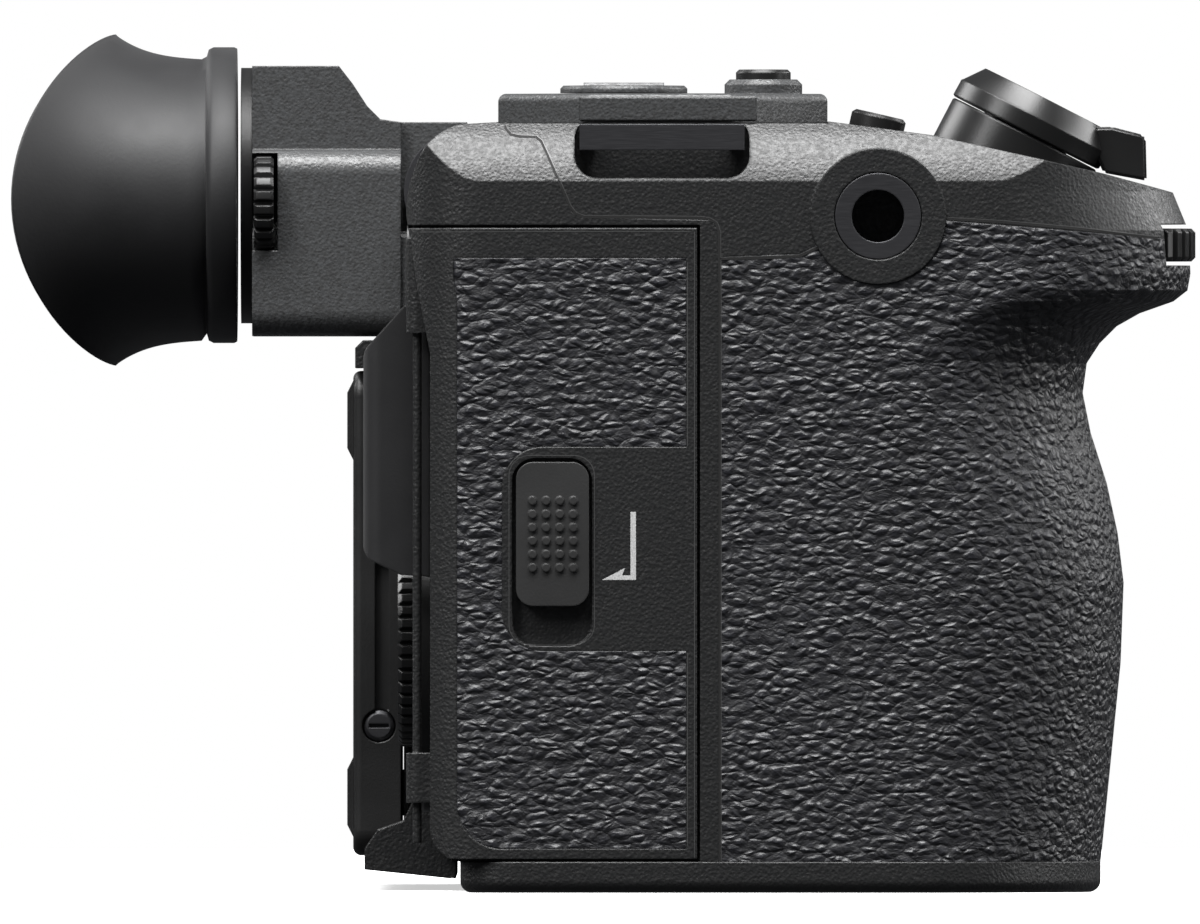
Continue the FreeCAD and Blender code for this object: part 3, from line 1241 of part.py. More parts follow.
chin = prism("chin", "YZ", chin_path, "-41", "-monitor_right - 0.8")
lip = prism("lip", "YZ", [("rear_plane - 2.5", "base_thick"), ("rear_plane - 2.5", "base_thick - 1.9"),
                          ("rear_plane + 6.7", "base_thick - 1"), ("rear_plane + 6.7", "base_thick - 0.2")],
            "-41", "left_reach - 6")
brow = prism("brow", "YZ", [
    ("rear_plane - 1", "monitor_top + slip"),
    ("monitor_rear - 0.2", "monitor_top + slip"),
    ("monitor_rear - 0.2", "monitor_top + 2.3"),
    ("monitor_rear - 1", "monitor_top + 3.1"),
    ("rear_plane - 1", "monitor_top + 3.1"),
], "-monitor_right - 0.8", "finder_line - finder_wide / 2 - 1")
base_zone = block("chin_base", ("-90", "90"), ("0", "rear_plane - 2.9"), ("-1", "base_thick + 0.001"))

# Rear controls
wheel_at = ("-wheel_line", "rear_plane", "wheel_level")
wheel_seat = rod("wheel_seat", ("-wheel_line", "rear_plane - 1", "wheel_level"), "y", "wheel_radius + 0.3", "5")
centre_seat = rod("centre_seat", ("-wheel_line", "rear_plane - 3", "wheel_level"), "y", "4.2", "9")
node(turned("wheel_ring_blank", [("wheel_radius + 0.3", "0"), ("wheel_ring", "0"), ("wheel_ring", "1.3"),
                                 ("wheel_ring - 0.4", "1.6"), ("wheel_radius + 0.3", "1.6")],
            wheel_at, "y"), "control_wheel_ring")
wheel = turned("control_wheel", [("4.3", "-0.6"), ("wheel_radius", "-0.6"), ("wheel_radius", "2.9"),
                                 ("wheel_radius - 0.5", "3.3"), ("5.2", "3"), ("4.3", "2.4")], wheel_at, "y")
wheel_notch = [("wheel_radius - 0.45", "-0.05"), ("wheel_radius + 0.2", "-0.4"), ("wheel_radius + 0.2", "0.4"),
               ("wheel_radius - 0.45", "0.05")]
node(notched(wheel, "control_wheel", wheel_notch, "1.8", "3.4", "48"), "control_wheel")
node(turned("wheel_button", [("0", "-2"), ("4", "-2"), ("4", "2.4"), ("3.5", "2.8"), ("0", "2.8")],
            wheel_at, "y"), "control_wheel_button")
keys = {
    "menu_button": ("-31.2", "57.2"),
    "function_button": ("-47", "64.2"),
    "play_button": ("-62.5", "11"),
}
key_wells = []
for name, (x, z) in keys.items():
    key_wells.append(rod(name + "_well", (x, "rear_plane - 3", z), "y", "key_radius + 0.25", "9"))
    height = "2.4" if name in ("menu_button", "function_button") else "1"
    node(turned(name + "_cap", [("0", "-2.4"), ("key_radius", "-2.4"), ("key_radius", f"{height} - 0.4"),
                                ("key_radius - 0.4", height), ("0", height)],
                (x, "rear_plane", z), "y"), name)
stick_at = ("-stick_line", "rear_plane", "44")
stick_well = rod("stick_well", ("-stick_line", "rear_plane - 3", "44"), "y", "3.3", "9")
node(turned("joystick_cap", [("0", "-2.6"), ("1.6", "-2.6"), ("1.6", "0.5"), ("2.8", "1.2"), ("2.8", "2.2"),
                             ("2.2", "2.6"), ("0", "2.3")], stick_at, "y"), "joystick")
rear_body = cut(
    "rear_finished", join("rear_finished", rear_cover, cut("lip_trim", lip, base_zone),
                          cut("chin_trim", chin, base_zone), brow, fan_axle),
    wheel_seat, centre_seat, stick_well, *key_wells,
)
node(rear_body, "rear_cover")

# Left side: port block and its three doors, each on a pin at the front
port_x = "(left_reach - port_deep)"
port_y = ("seam_depth", "20")
holes = []
ports = (("audio_door", "44.4", "61.6"), ("video_door", "27.4", "44"), ("data_door", "10.4", "27"))
holes.append(rod("jack_a", ("left_reach - 9", "12.2", "57"), "x", "1.8", "20"))
holes.append(rod("jack_b", ("left_reach - 9", "12.2", "49"), "x", "1.8", "20"))
holes.append(block("video_socket", ("left_reach - 9", "60"), ("9.9", "14.5"), ("29", "43")))
holes.append(block("data_socket", ("left_reach - 9", "60"), ("10.8", "14"), ("12.5", "21.5")))
port_body = block("port_body", (port_x, "left_reach - 2.6"), port_y, ("port_low", "port_high"))
tongue = block("video_tongue", ("left_reach - 9.5", "left_reach - 3.4"), ("11.7", "12.7"), ("30.5", "41.5"))
port_pin = rod("port_pin", ("left_reach - 0.9", "seam_depth + 1.5", "port_low"), "z", "0.45", "port_high - port_low")
node(group("port_block", [join("port_block", cut("port_block", port_body, *holes), tongue), port_pin]), "port_block")
for name, low, high in ports:
    plate = block(name + "_plate", ("left_reach - 1.8", "left_reach"), ("seam_depth + 1.5", "20"), (low, high))
    hinge = rod(name + "_hinge", ("left_reach - 0.9", "seam_depth + 1.5", low), "z", "0.9", f"{high} - {low}")
    pin_hole = rod(name + "_pin_hole", ("left_reach - 0.9", "seam_depth + 1.5", "0"), "z", "0.5", "80")
    node(cut(name, join(name, plate, hinge), pin_hole), name)


# Checks of the finished document, and the files

def check_document():
    doc.recompute()
    for item in doc.Objects:
        if any(word in ("Invalid", "Error") for word in item.State):
            raise RuntimeError(f"{item.Label} did not recompute: {item.State}")
    for item in nodes:
        shape = item.Shape
        if shape.isNull() or not shape.isValid() or not shape.Solids or shape.Volume <= 0:
            raise RuntimeError(f"{item.Label} has no sound solid")


def write_files():
    os.makedirs("parts", exist_ok=True)
    for item in nodes:
        item.Shape.exportStep(f"parts/{item.Label}.step")
        box = item.Shape.BoundBox
        print(f"{item.Label}: {len(item.Shape.Solids)} solids, {item.Shape.Volume:.0f} mm3, "
              f"X {box.XMin:.1f} to {box.XMax:.1f}, Y {box.YMin:.1f} to {box.YMax:.1f}, "
              f"Z {box.ZMin:.1f} to {box.ZMax:.1f}")


check_document()
write_files()
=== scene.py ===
"""Finishes, eyecup, fine details, light and camera of the cinema camera, in metres in the part's frame."""
import json
import math

import bmesh
import bpy
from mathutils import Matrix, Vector
from mathutils.bvhtree import BVHTree


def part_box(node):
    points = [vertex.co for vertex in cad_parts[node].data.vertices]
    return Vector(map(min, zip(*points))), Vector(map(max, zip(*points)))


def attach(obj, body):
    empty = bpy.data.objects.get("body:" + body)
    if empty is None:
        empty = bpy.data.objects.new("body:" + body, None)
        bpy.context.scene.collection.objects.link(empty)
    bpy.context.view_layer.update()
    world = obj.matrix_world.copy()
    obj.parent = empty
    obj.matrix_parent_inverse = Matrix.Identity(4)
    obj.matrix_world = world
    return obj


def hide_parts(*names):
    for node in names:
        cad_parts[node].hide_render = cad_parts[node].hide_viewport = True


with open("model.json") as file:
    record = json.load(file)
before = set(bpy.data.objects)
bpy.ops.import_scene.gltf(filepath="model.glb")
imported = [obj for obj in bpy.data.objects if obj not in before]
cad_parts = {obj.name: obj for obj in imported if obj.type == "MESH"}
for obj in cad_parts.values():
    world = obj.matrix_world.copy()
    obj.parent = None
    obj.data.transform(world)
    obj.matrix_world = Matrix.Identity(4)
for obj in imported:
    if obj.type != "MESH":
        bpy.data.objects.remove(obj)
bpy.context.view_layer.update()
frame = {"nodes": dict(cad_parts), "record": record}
nodes = frame["nodes"]
MM = 0.001


# The photographed view, as pixels of a 1200 x 924 frame

PIXEL = 0.1 * MM
ORIGIN_PX, ORIGIN_PY = 763, 893
FRAME_WIDE = 1200
CENTRE_PX, CENTRE_PY = 600, 462


def spot(px, py):
    """The place (y, z) of a photographed point."""
    return (ORIGIN_PX - px) * PIXEL, (ORIGIN_PY - py) * PIXEL


# Shader helpers

MIX_FIRST, MIX_SECOND, MIX_RESULT = 6, 7, 2  # the colour sockets of a Mix node


def blank(name):
    """A new node material: its tree and its shader."""
    material = bpy.data.materials.new(name)
    material.use_nodes = True
    return material, material.node_tree, material.node_tree.nodes["Principled BSDF"]


def put(tree, kind, settings=None, **inputs):
    """One node with its settings and its inputs, each a value or another node's socket."""
    item = tree.nodes.new("ShaderNode" + kind)
    for key, given in (settings or {}).items():
        setattr(item, key, given)
    for key, given in inputs.items():
        socket = item.inputs[int(key[2:])] if key.startswith("in") and key[2:].isdigit() else item.inputs[key]
        if isinstance(given, bpy.types.NodeSocket):
            tree.links.new(given, socket)
        else:
            socket.default_value = given
    return item


def place_of(tree):
    """The coordinates that a piece's pattern is drawn in."""
    return put(tree, "TexCoord").outputs["Object"]


def noise(tree, where, scale, detail, rough=0.5):
    """Cloudy noise; its scale is the number of clouds to a metre."""
    return put(tree, "TexNoise", Vector=where, Scale=scale, Detail=detail, Roughness=rough).outputs["Fac"]


def ramp(tree, source, low, high, first=0.0, last=1.0):
    """A value spread from low..high of its source to first..last."""
    return put(tree, "MapRange", in0=source, in1=low, in2=high, in3=first, in4=last).outputs[0]


def maths(tree, kind, a, b):
    """One sum or product of two values."""
    return put(tree, "Math", {"operation": kind}, in0=a, in1=b).outputs[0]


def weighted(tree, *pairs):
    """The sum of some patterns, each times its weight."""
    total = None
    for pattern, weight in pairs:
        share = maths(tree, "MULTIPLY", pattern, weight)
        total = maths(tree, "ADD", total, share) if total else share
    return total


def tint(tree, factor, dark, light):
    """A colour between a dark one and a light one."""
    mixer = put(tree, "Mix", {"data_type": "RGBA"}, in0=factor)
    mixer.inputs[MIX_FIRST].default_value = (*dark, 1)
    mixer.inputs[MIX_SECOND].default_value = (*light, 1)
    return mixer.outputs[MIX_RESULT]


def relief(tree, shader, height, depth, edge=0.25 * MM):
    """Surface relief over slightly rounded edges."""
    soft = put(tree, "Bevel", {"samples": 4}, Radius=edge).outputs[0]
    bump = put(tree, "Bump", Height=height, Distance=depth, Strength=1.0, Normal=soft)
    tree.links.new(bump.outputs[0], shader.inputs["Normal"])


def grey(level, warm=0.0):
    """A grey of a level, with a little more red and less blue where it is warm."""
    return (level * (1 + warm), level, level * (1 - warm))


# Materials

def crinkle_paint(name, level, rough, depth, grain, speckle):
    """Hard crinkled paint with small light and dark speckles."""
    material, tree, shader = blank(name)
    where = place_of(tree)
    fine = noise(tree, where, grain, 3, 0.6)
    pits = put(tree, "TexVoronoi", {"feature": "SMOOTH_F1"}, Vector=where, Scale=grain * 0.9, Smoothness=0.6)
    height = maths(tree, "ADD", fine, pits.outputs[0])
    cloud = noise(tree, where, 55, 2)
    fleck = ramp(tree, noise(tree, where, grain * 0.55, 2, 0.7), 0.38, 0.66)
    shade = weighted(tree, (fleck, speckle), (cloud, 0.3))
    colour = tint(tree, shade, grey(level * 0.62), grey(level * 1.55, -0.03))
    tree.links.new(colour, shader.inputs["Base Color"])
    tree.links.new(ramp(tree, fleck, 0, 1, rough + 0.1, rough - 0.08), shader.inputs["Roughness"])
    relief(tree, shader, height, depth)
    return material


PEBBLES = 1120.0  # grains to a metre
PEBBLE_SLANT = math.radians(38)
PEBBLE_STRETCH = (1.0, 0.68, 1.12)


def pebbled_leather(name):
    """Leatherette: swollen grains of about a millimetre between thin creases, drawn out along a slant."""
    material, tree, shader = blank(name)
    where = place_of(tree)
    stretched = put(tree, "Mapping", {"vector_type": "POINT"}, Vector=where, Rotation=(PEBBLE_SLANT, 0, 0),
                    Scale=PEBBLE_STRETCH).outputs[0]
    warp = put(tree, "TexNoise", Vector=stretched, Scale=600.0, Detail=2.0).outputs["Color"]
    shift = put(tree, "VectorMath", {"operation": "SUBTRACT"}, in0=warp, in1=(0.5, 0.5, 0.5)).outputs[0]
    shift = put(tree, "VectorMath", {"operation": "SCALE"}, in0=shift, Scale=1.2 * MM).outputs[0]
    bent = put(tree, "VectorMath", {"operation": "ADD"}, in0=stretched, in1=shift).outputs[0]
    grains = put(tree, "TexVoronoi", {"feature": "SMOOTH_F1"}, Vector=bent, Scale=PEBBLES, Smoothness=0.6)
    edges = put(tree, "TexVoronoi", {"feature": "DISTANCE_TO_EDGE"}, Vector=bent, Scale=PEBBLES)
    crease = ramp(tree, edges.outputs[0], 0.0, 0.35)
    swell = ramp(tree, grains.outputs[0], 0.0, 0.7, 1.0, 0.0)
    fold = noise(tree, bent, 700, 3, 0.6)
    fine = noise(tree, where, 6000, 2)
    height = weighted(tree, (swell, 0.7), (crease, 0.22), (fold, 1.1), (fine, 0.1))
    cloud = noise(tree, where, 70, 2)
    # The colour is darker in the creases between grains: painted shade, over a random cloudy tone
    shade = weighted(tree, (crease, 0.7), (cloud, 0.3))
    colour = tint(tree, shade, (0.006, 0.006, 0.007), (0.022, 0.0225, 0.027))
    tree.links.new(colour, shader.inputs["Base Color"])
    tree.links.new(ramp(tree, crease, 0, 1, 0.55, 0.36), shader.inputs["Roughness"])
    shader.inputs["Specular IOR Level"].default_value = 0.5
    relief(tree, shader, height, 0.28 * MM)
    return material


def moulded(name, level, rough, depth=0.02 * MM, grain=3600, warm=0.0):
    """Moulded plastic or rubber with a fine spark-eroded skin and faint handling wear."""
    material, tree, shader = blank(name)
    where = place_of(tree)
    fine = noise(tree, where, grain, 2, 0.6)
    cloud = noise(tree, where, 90, 3)
    shade = weighted(tree, (fine, 0.5), (cloud, 0.5))
    colour = tint(tree, shade, grey(level * 0.72, warm), grey(level * 1.3, warm))
    tree.links.new(colour, shader.inputs["Base Color"])
    tree.links.new(ramp(tree, cloud, 0.3, 0.7, rough - 0.05, rough + 0.06), shader.inputs["Roughness"])
    relief(tree, shader, fine, depth, 0.2 * MM)
    return material


def soft_rubber(name):
    """Matte silicone rubber with a dry sheen at grazing angles and a trace of dust."""
    material, tree, shader = blank(name)
    where = place_of(tree)
    fine = noise(tree, where, 2600, 2)
    cloud = noise(tree, where, 110, 4, 0.6)
    colour = tint(tree, cloud, (0.006, 0.006, 0.0065), (0.011, 0.011, 0.012))
    tree.links.new(colour, shader.inputs["Base Color"])
    tree.links.new(ramp(tree, cloud, 0.3, 0.7, 0.5, 0.6), shader.inputs["Roughness"])
    shader.inputs["Specular IOR Level"].default_value = 0.4
    shader.inputs["Sheen Weight"].default_value = 0.06
    shader.inputs["Sheen Roughness"].default_value = 0.5
    relief(tree, shader, fine, 0.012 * MM, 0.3 * MM)
    return material


def turned_metal(name, colour, rough, metallic=1.0):
    """Turned or plated metal with fine tool rings about the lens axis."""
    material, tree, shader = blank(name)
    where = place_of(tree)
    spin = put(tree, "Mapping", Vector=where, Scale=(1.0, 0.05, 1.0)).outputs[0]
    rings = noise(tree, spin, 9000, 2)
    cloud = noise(tree, where, 160, 3)
    dark = tuple(c * 0.75 for c in colour)
    tree.links.new(tint(tree, cloud, dark, colour), shader.inputs["Base Color"])
    tree.links.new(ramp(tree, rings, 0.3, 0.7, rough - 0.06, rough + 0.1), shader.inputs["Roughness"])
    shader.inputs["Metallic"].default_value = metallic
    relief(tree, shader, rings, 0.006 * MM, 0.2 * MM)
    return material


def coated_glass(name, tone):
    """Dark glass with a violet and green coating."""
    material, tree, shader = blank(name)
    edge = put(tree, "LayerWeight", Blend=0.35).outputs["Facing"]
    cloud = noise(tree, place_of(tree), 40, 2)
    mixed = weighted(tree, (edge, 0.7), (cloud, 0.3))
    tree.links.new(tint(tree, mixed, tone, (0.035, 0.03, 0.05)), shader.inputs["Base Color"])
    tree.links.new(ramp(tree, cloud, 0.3, 0.7, 0.03, 0.07), shader.inputs["Roughness"])
    shader.inputs["Coat Weight"].default_value = 1.0
    shader.inputs["Coat Roughness"].default_value = 0.02
    return material


def image_sensor_skin(name):
    """Sensor surface: dark, with a faint green and magenta cast and fine rows."""
    material, tree, shader = blank(name)
    where = place_of(tree)
    rows = put(tree, "TexWave", {"wave_type": "BANDS", "bands_direction": "Z"}, Vector=where, Scale=2500.0)
    cloud = noise(tree, where, 45, 2)
    mixed = maths(tree, "ADD", maths(tree, "MULTIPLY", rows.outputs["Fac"], 0.15), cloud)
    tree.links.new(tint(tree, mixed, (0.012, 0.03, 0.028), (0.05, 0.02, 0.045)), shader.inputs["Base Color"])
    tree.links.new(ramp(tree, cloud, 0, 1, 0.12, 0.2), shader.inputs["Roughness"])
    shader.inputs["Coat Weight"].default_value = 0.6
    return material


def circuit_board(name):
    """Green solder mask with traces."""
    material, tree, shader = blank(name)
    where = place_of(tree)
    traces = put(tree, "TexBrick", Vector=where, Scale=600.0)
    tree.links.new(tint(tree, traces.outputs["Fac"], (0.01, 0.07, 0.035), (0.03, 0.16, 0.08)),
                   shader.inputs["Base Color"])
    shader.inputs["Roughness"].default_value = 0.4
    relief(tree, shader, traces.outputs["Fac"], 0.02 * MM)
    return material


def printed(name, level):
    """Screen-printed mark: pale ink, slightly broken up over the grain."""
    material, tree, shader = blank(name)
    where = place_of(tree)
    grain = noise(tree, where, 5000, 3, 0.7)
    worn = ramp(tree, grain, 0.3, 0.6)
    tree.links.new(tint(tree, worn, grey(level * 0.62), grey(level)), shader.inputs["Base Color"])
    shader.inputs["Roughness"].default_value = 0.6
    relief(tree, shader, grain, 0.01 * MM, 0.05 * MM)
    return material


finishes = {
    "body_paint": crinkle_paint("body_paint", 0.0115, 0.4, 0.045 * MM, 3300, 0.6),
    "deck_paint": crinkle_paint("deck_paint", 0.042, 0.34, 0.04 * MM, 3600, 0.7),
    "leatherette": pebbled_leather("leatherette"),
    "plastic": moulded("plastic", 0.009, 0.44),
    "gloss": moulded("gloss", 0.007, 0.3, 0.006 * MM, 5200),
    "rubber": soft_rubber("rubber"),
    "latch_plastic": moulded("latch_plastic", 0.019, 0.48, 0.012 * MM, 4200),
    "seam": moulded("seam", 0.0015, 0.8, 0.004 * MM),
    # A lighter grey for thin ribbons along edges and seams: painted highlights
    "edge_light": moulded("edge_light", 0.05, 0.35, 0.01 * MM),
    "steel": turned_metal("steel", (0.52, 0.52, 0.54), 0.32),
    "dark_steel": turned_metal("dark_steel", (0.05, 0.05, 0.054), 0.4, metallic=0.6),
    "gold": turned_metal("gold", (0.83, 0.6, 0.22), 0.28),
    "glass": coated_glass("glass", (0.006, 0.012, 0.014)),
    "screen": coated_glass("screen", (0.004, 0.004, 0.005)),
    "sensor": image_sensor_skin("sensor"),
    "battery_shell": moulded("battery_shell", 0.03, 0.5),
    "card_shell": moulded("card_shell", 0.05, 0.45, warm=-0.2),
    "board": circuit_board("board"),
    "print": printed("print", 0.52),
}


def dress(piece, finish):
    """Gives a piece one finish all over."""
    piece.data.materials.clear()
    piece.data.materials.append(finishes[finish])


slot_of = {row["node"]: row["material_slot"] for row in frame["record"]["subparts"]}
for name, item in nodes.items():
    dress(item, slot_of[name])


# Mesh helpers

WELD = 0.001 * MM


def smooth(mesh, limit=30):
    """Smooth shading except across edges sharper than the limit."""
    made = bmesh.new()
    made.from_mesh(mesh)
    for face in made.faces:
        face.smooth = True
    for edge in made.edges:
        edge.smooth = len(edge.link_faces) == 2 and edge.calc_face_angle(0) < math.radians(limit)
    made.to_mesh(mesh)
    made.free()


def keep(made, name, body, finish, limit=30):
    """Turns a bmesh into a dressed piece that rides on a body, mostly in one of the record's slots."""
    bmesh.ops.recalc_face_normals(made, faces=made.faces)
    mesh = bpy.data.meshes.new(name)
    made.to_mesh(mesh)
    made.free()
    smooth(mesh, limit)
    piece = bpy.data.objects.new(name, mesh)
    bpy.context.scene.collection.objects.link(piece)
    dress(piece, finish)
    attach(piece, body)
    return piece


def rings_to_mesh(made, rings):
    """Quads between closed rings of points, each with as many points as the next."""
    rows = [[made.verts.new(point) for point in ring] for ring in rings]
    count = len(rows[0])
    for row, following in zip(rows, rows[1:]):
        for step in range(count):
            after = (step + 1) % count
            made.faces.new((row[step], row[after], following[after], following[step]))


def plate(made, outline, level, thick):
    """A plate across X, with its outline in Y and Z."""
    low = [made.verts.new((level, y, z)) for y, z in outline]
    high = [made.verts.new((level + thick, y, z)) for y, z in outline]
    made.faces.new(low)
    made.faces.new(high)
    for step in range(len(outline)):
        after = (step + 1) % len(outline)
        made.faces.new((low[step], low[after], high[after], high[step]))


# Rubber eyecup: an oval tube that flares to a saddle-shaped lip

CUP_AXIS_X = 28 * MM
CUP_BASE_Y, CUP_BACK_Y = 56.4 * MM, 76.0 * MM
CUP_TOP_Y = 65.7 * MM
CUP_AXIS_Z = 69.75 * MM
COLLAR_RISE = 0.5 * MM
CUP_SIDES = 96
CUP_ROWS = 22


CUP_HALF_WIDE, CUP_HALF_HIGH = 18.3, 14.3
FLARE_WIDE, FLARE_HIGH = 5.0, 2.6
NECK_SLOPE, FLARE_POWER, SADDLE_POWER = 0.22, 3.2, 1.4


def flare(share):
    """How far the wall has opened, from the neck (0) to the lip (1)."""
    return NECK_SLOPE * share + (1 - NECK_SLOPE) * share ** FLARE_POWER


def lip_depth(lean):
    """Where the lip ends at an angle round the axis: furthest back at both sides."""
    return CUP_TOP_Y + (CUP_BACK_Y - CUP_TOP_Y) * abs(math.cos(lean)) ** SADDLE_POWER


def cup_ring(share, inset, extra=0.0):
    """One ring of the cup's wall, moved in by an inset and back by an extra."""
    ring = []
    for step in range(CUP_SIDES):
        lean = 2 * math.pi * step / CUP_SIDES
        open_now = flare(share)
        half_wide = (CUP_HALF_WIDE + FLARE_WIDE * open_now) * MM - inset
        half_high = (CUP_HALF_HIGH + FLARE_HIGH * open_now) * MM - inset
        depth = CUP_BASE_Y + (lip_depth(lean) - CUP_BASE_Y) * share + extra
        ring.append((CUP_AXIS_X + half_wide * math.cos(lean), depth, CUP_AXIS_Z + half_high * math.sin(lean)))
    return ring


def collar_ring(half_wide, half_high, depth):
    """One ring of the cup's collar; its half sizes and depth are in mm."""
    ring = []
    for step in range(CUP_SIDES):
        lean = 2 * math.pi * step / CUP_SIDES
        ring.append((CUP_AXIS_X + half_wide * MM * math.cos(lean), depth * MM,
                     CUP_AXIS_Z + COLLAR_RISE + half_high * MM * math.sin(lean)))
    return ring


def eyecup():
    """Rings in order: collar from its bore outward, wall, lip, inside of the wall, and back to the bore."""
    made = bmesh.new()
    rings = [
        collar_ring(12.2, 12.2, 53.2),
        collar_ring(18.6, 14.9, 53.2),
        collar_ring(18.75, 15.05, 53.5),
        collar_ring(18.75, 15.05, 55.6),
        collar_ring(18.5, 14.8, 56.1),
        collar_ring(17.9, 14.1, 56.3),
    ]
    for row in range(1, CUP_ROWS):
        rings.append(cup_ring(row / CUP_ROWS, 0.0))
    for inset, extra in ((0.05, -0.15), (0.45, 0.0), (0.95, -0.15)):
        rings.append(cup_ring(1, inset * MM, extra * MM))
    for row in range(CUP_ROWS - 1, 2, -1):
        share = row / CUP_ROWS
        rings.append(cup_ring(share, (1.05 + 1.5 * (1 - share)) * MM))
    rings += [collar_ring(14.2, 12.6, 56.6), collar_ring(12.2, 12.2, 55.4)]
    rings_to_mesh(made, rings + [rings[0]])
    bmesh.ops.remove_doubles(made, verts=made.verts, dist=WELD)
    piece = keep(made, "eyecup_rubber", "viewfinder", "rubber", 55)
    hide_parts("eyecup")


eyecup()


# Printed arrow that shows which way the card door's slide opens

INK = 0.04 * MM


def arrow():
    """An upright bar whose foot turns into a half arrowhead, in the photographed pixels."""
    bar_left, bar_right, bar_top, foot_top, foot = 630.5, 636, 512, 575.5, 580
    tip, barb, root = (602, foot), (625, 568), (622, foot_top)
    outline = [spot(*point) for point in ((bar_left, bar_top), (bar_right, bar_top), (bar_right, foot),
                                          tip, barb, root, (bar_left, foot_top))]
    made = bmesh.new()
    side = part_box("card_door")[0].x
    plate(made, outline, side - INK / 2, INK)
    keep(made, "door_arrow", "card_door", "print")


arrow()


# Seams between covers, drawn as fine dark ribbons that lie on the surface under them, each with a thin
# lighter ribbon beside it as a painted highlight

def skin_of(*names):
    """A search tree over the surfaces of some CAD nodes."""
    points, faces = [], []
    for name in names:
        mesh = nodes[name].data
        start = len(points)
        points += [vertex.co.copy() for vertex in mesh.vertices]
        faces += [[start + index for index in face.vertices] for face in mesh.polygons]
    return BVHTree.FromPolygons(points, faces)


SIDE_SKIN = skin_of("rear_cover", "top_cover", "grip_leather", "grip_frame", "card_door", "base_plate",
                    "top_deck")


BEYOND_GRIP = -0.2


def on_side(y, z, lift):
    """The point of the grip side's surface at (y, z), lifted off it a little."""
    hit, normal, _, _ = SIDE_SKIN.ray_cast(Vector((BEYOND_GRIP, y, z)), Vector((1, 0, 0)))
    if hit is None:
        return None
    if normal.x > 0:
        normal = -normal
    return hit + normal * lift


SEAM_LIFT = 0.02 * MM
SEAM_STEP = 0.6 * MM


def seam(name, corners, width, offset=0.0, finish="seam", body="body"):
    """A ribbon through photographed points, moved sideways by an offset."""
    line = []
    for (ax, ay), (bx, by) in zip(corners, corners[1:]):
        a, b = Vector(spot(ax, ay)), Vector(spot(bx, by))
        parts = max(2, int((b - a).length / SEAM_STEP))
        line += [a.lerp(b, step / parts) for step in range(parts)]
    line.append(Vector(spot(*corners[-1])))
    made = bmesh.new()
    last = None
    for here, following in zip(line, line[1:] + [line[-1] * 2 - line[-2]]):
        along = (following - here).normalized()
        across = Vector((-along.y, along.x))
        near, far = here + across * (offset - width / 2), here + across * (offset + width / 2)
        ends = [on_side(near.x, near.y, SEAM_LIFT), on_side(far.x, far.y, SEAM_LIFT)]
        if None in ends:
            last = None
            continue
        pair = [made.verts.new(end) for end in ends]
        if last:
            made.faces.new((last[0], last[1], pair[1], pair[0]))
        last = pair
    keep(made, name, body, finish)


COVER_SEAM = [(504, 122), (506, 129), (511, 134.5), (520, 136.5), (536, 137), (541, 141), (547, 154),
              (570, 207), (576, 214), (584, 217), (700, 218), (709, 219), (716, 223), (719, 232),
              (719.5, 300), (719.5, 480), (719.5, 660), (719.5, 861)]
LEATHER_SEAM = [(720, 259), (780, 257.5), (800, 256), (829, 243)]
NOSE_SEAM = [(946, 219), (1000, 222), (1080, 229), (1158, 238)]
for label, corners in (("cover_seam", COVER_SEAM), ("leather_seam", LEATHER_SEAM), ("nose_seam", NOSE_SEAM)):
    seam(label, corners, width=0.22 * MM)
    # The lighter ribbon beside each seam is a painted highlight along the cover's edge
    seam(label + "_light", corners, width=0.08 * MM, offset=-0.17 * MM, finish="edge_light")


# Painted highlights along the card door's edges, round its slide and its leather pad, and dark gaps across
# the pad

CORNER_STEPS = 6


def ring_line(x0, x1, y0, y1, radius):
    """Corners of a rounded frame, in pixels, back to its start."""
    line = []
    for cx, cy, first in ((x1 - radius, y0 + radius, -90), (x1 - radius, y1 - radius, 0),
                          (x0 + radius, y1 - radius, 90), (x0 + radius, y0 + radius, 180)):
        for step in range(CORNER_STEPS + 1):
            lean = math.radians(first + 90 * step / CORNER_STEPS)
            line.append((cx + radius * math.cos(lean), cy + radius * math.sin(lean)))
    return line + [line[0]]


# Thin lighter ribbons along the door's edges: painted highlights
DOOR_EDGES = {
    "slot_light": ring_line(509, 594.5, 455.5, 645, 20),
    "pad_light": [(687.5, 446), (687.5, 262), (684, 258.5), (470, 258.5), (460, 263), (456.5, 276)],
    "pad_low_light": [(687.5, 653), (687.5, 849), (508, 849)],
    "door_light": [(420, 232), (560, 231.5), (694.5, 231.5), (694.5, 858)],
}
for label, corners in DOOR_EDGES.items():
    seam(label, corners, width=0.09 * MM, finish="edge_light", body="card_door")
for label, height in (("pad_gap", 447), ("pad_low_gap", 652.5)):
    seam(label, [(525, height), (687, height)], width=0.14 * MM, body="card_door")


# Zoom ring and its fixed collar, turned about the ring's own axis

ZOOM_SPOT = Vector((-60.5, -25.9, 75.2)) * MM
ZOOM_LEAN = math.radians(27)
ZOOM_SIDES = 64
ZOOM_UP = Vector((0, -math.sin(ZOOM_LEAN), math.cos(ZOOM_LEAN)))
ZOOM_SIDE = Vector((1, 0, 0))
ZOOM_FRONT = ZOOM_UP.cross(ZOOM_SIDE)


def turned(name, body, finish, profile):
    """A closed ring turned about the zoom axis; its profile is (radius, height) in mm."""
    made = bmesh.new()
    rings = []
    for radius, height in profile:
        ring = []
        for step in range(ZOOM_SIDES):
            lean = 2 * math.pi * step / ZOOM_SIDES
            reach = ZOOM_SIDE * math.cos(lean) + ZOOM_FRONT * math.sin(lean)
            ring.append(ZOOM_SPOT + reach * radius * MM + ZOOM_UP * height * MM)
        rings.append(ring)
    rings_to_mesh(made, rings + [rings[0]])
    bmesh.ops.remove_doubles(made, verts=made.verts, dist=WELD)
    return keep(made, name, body, finish, 20)


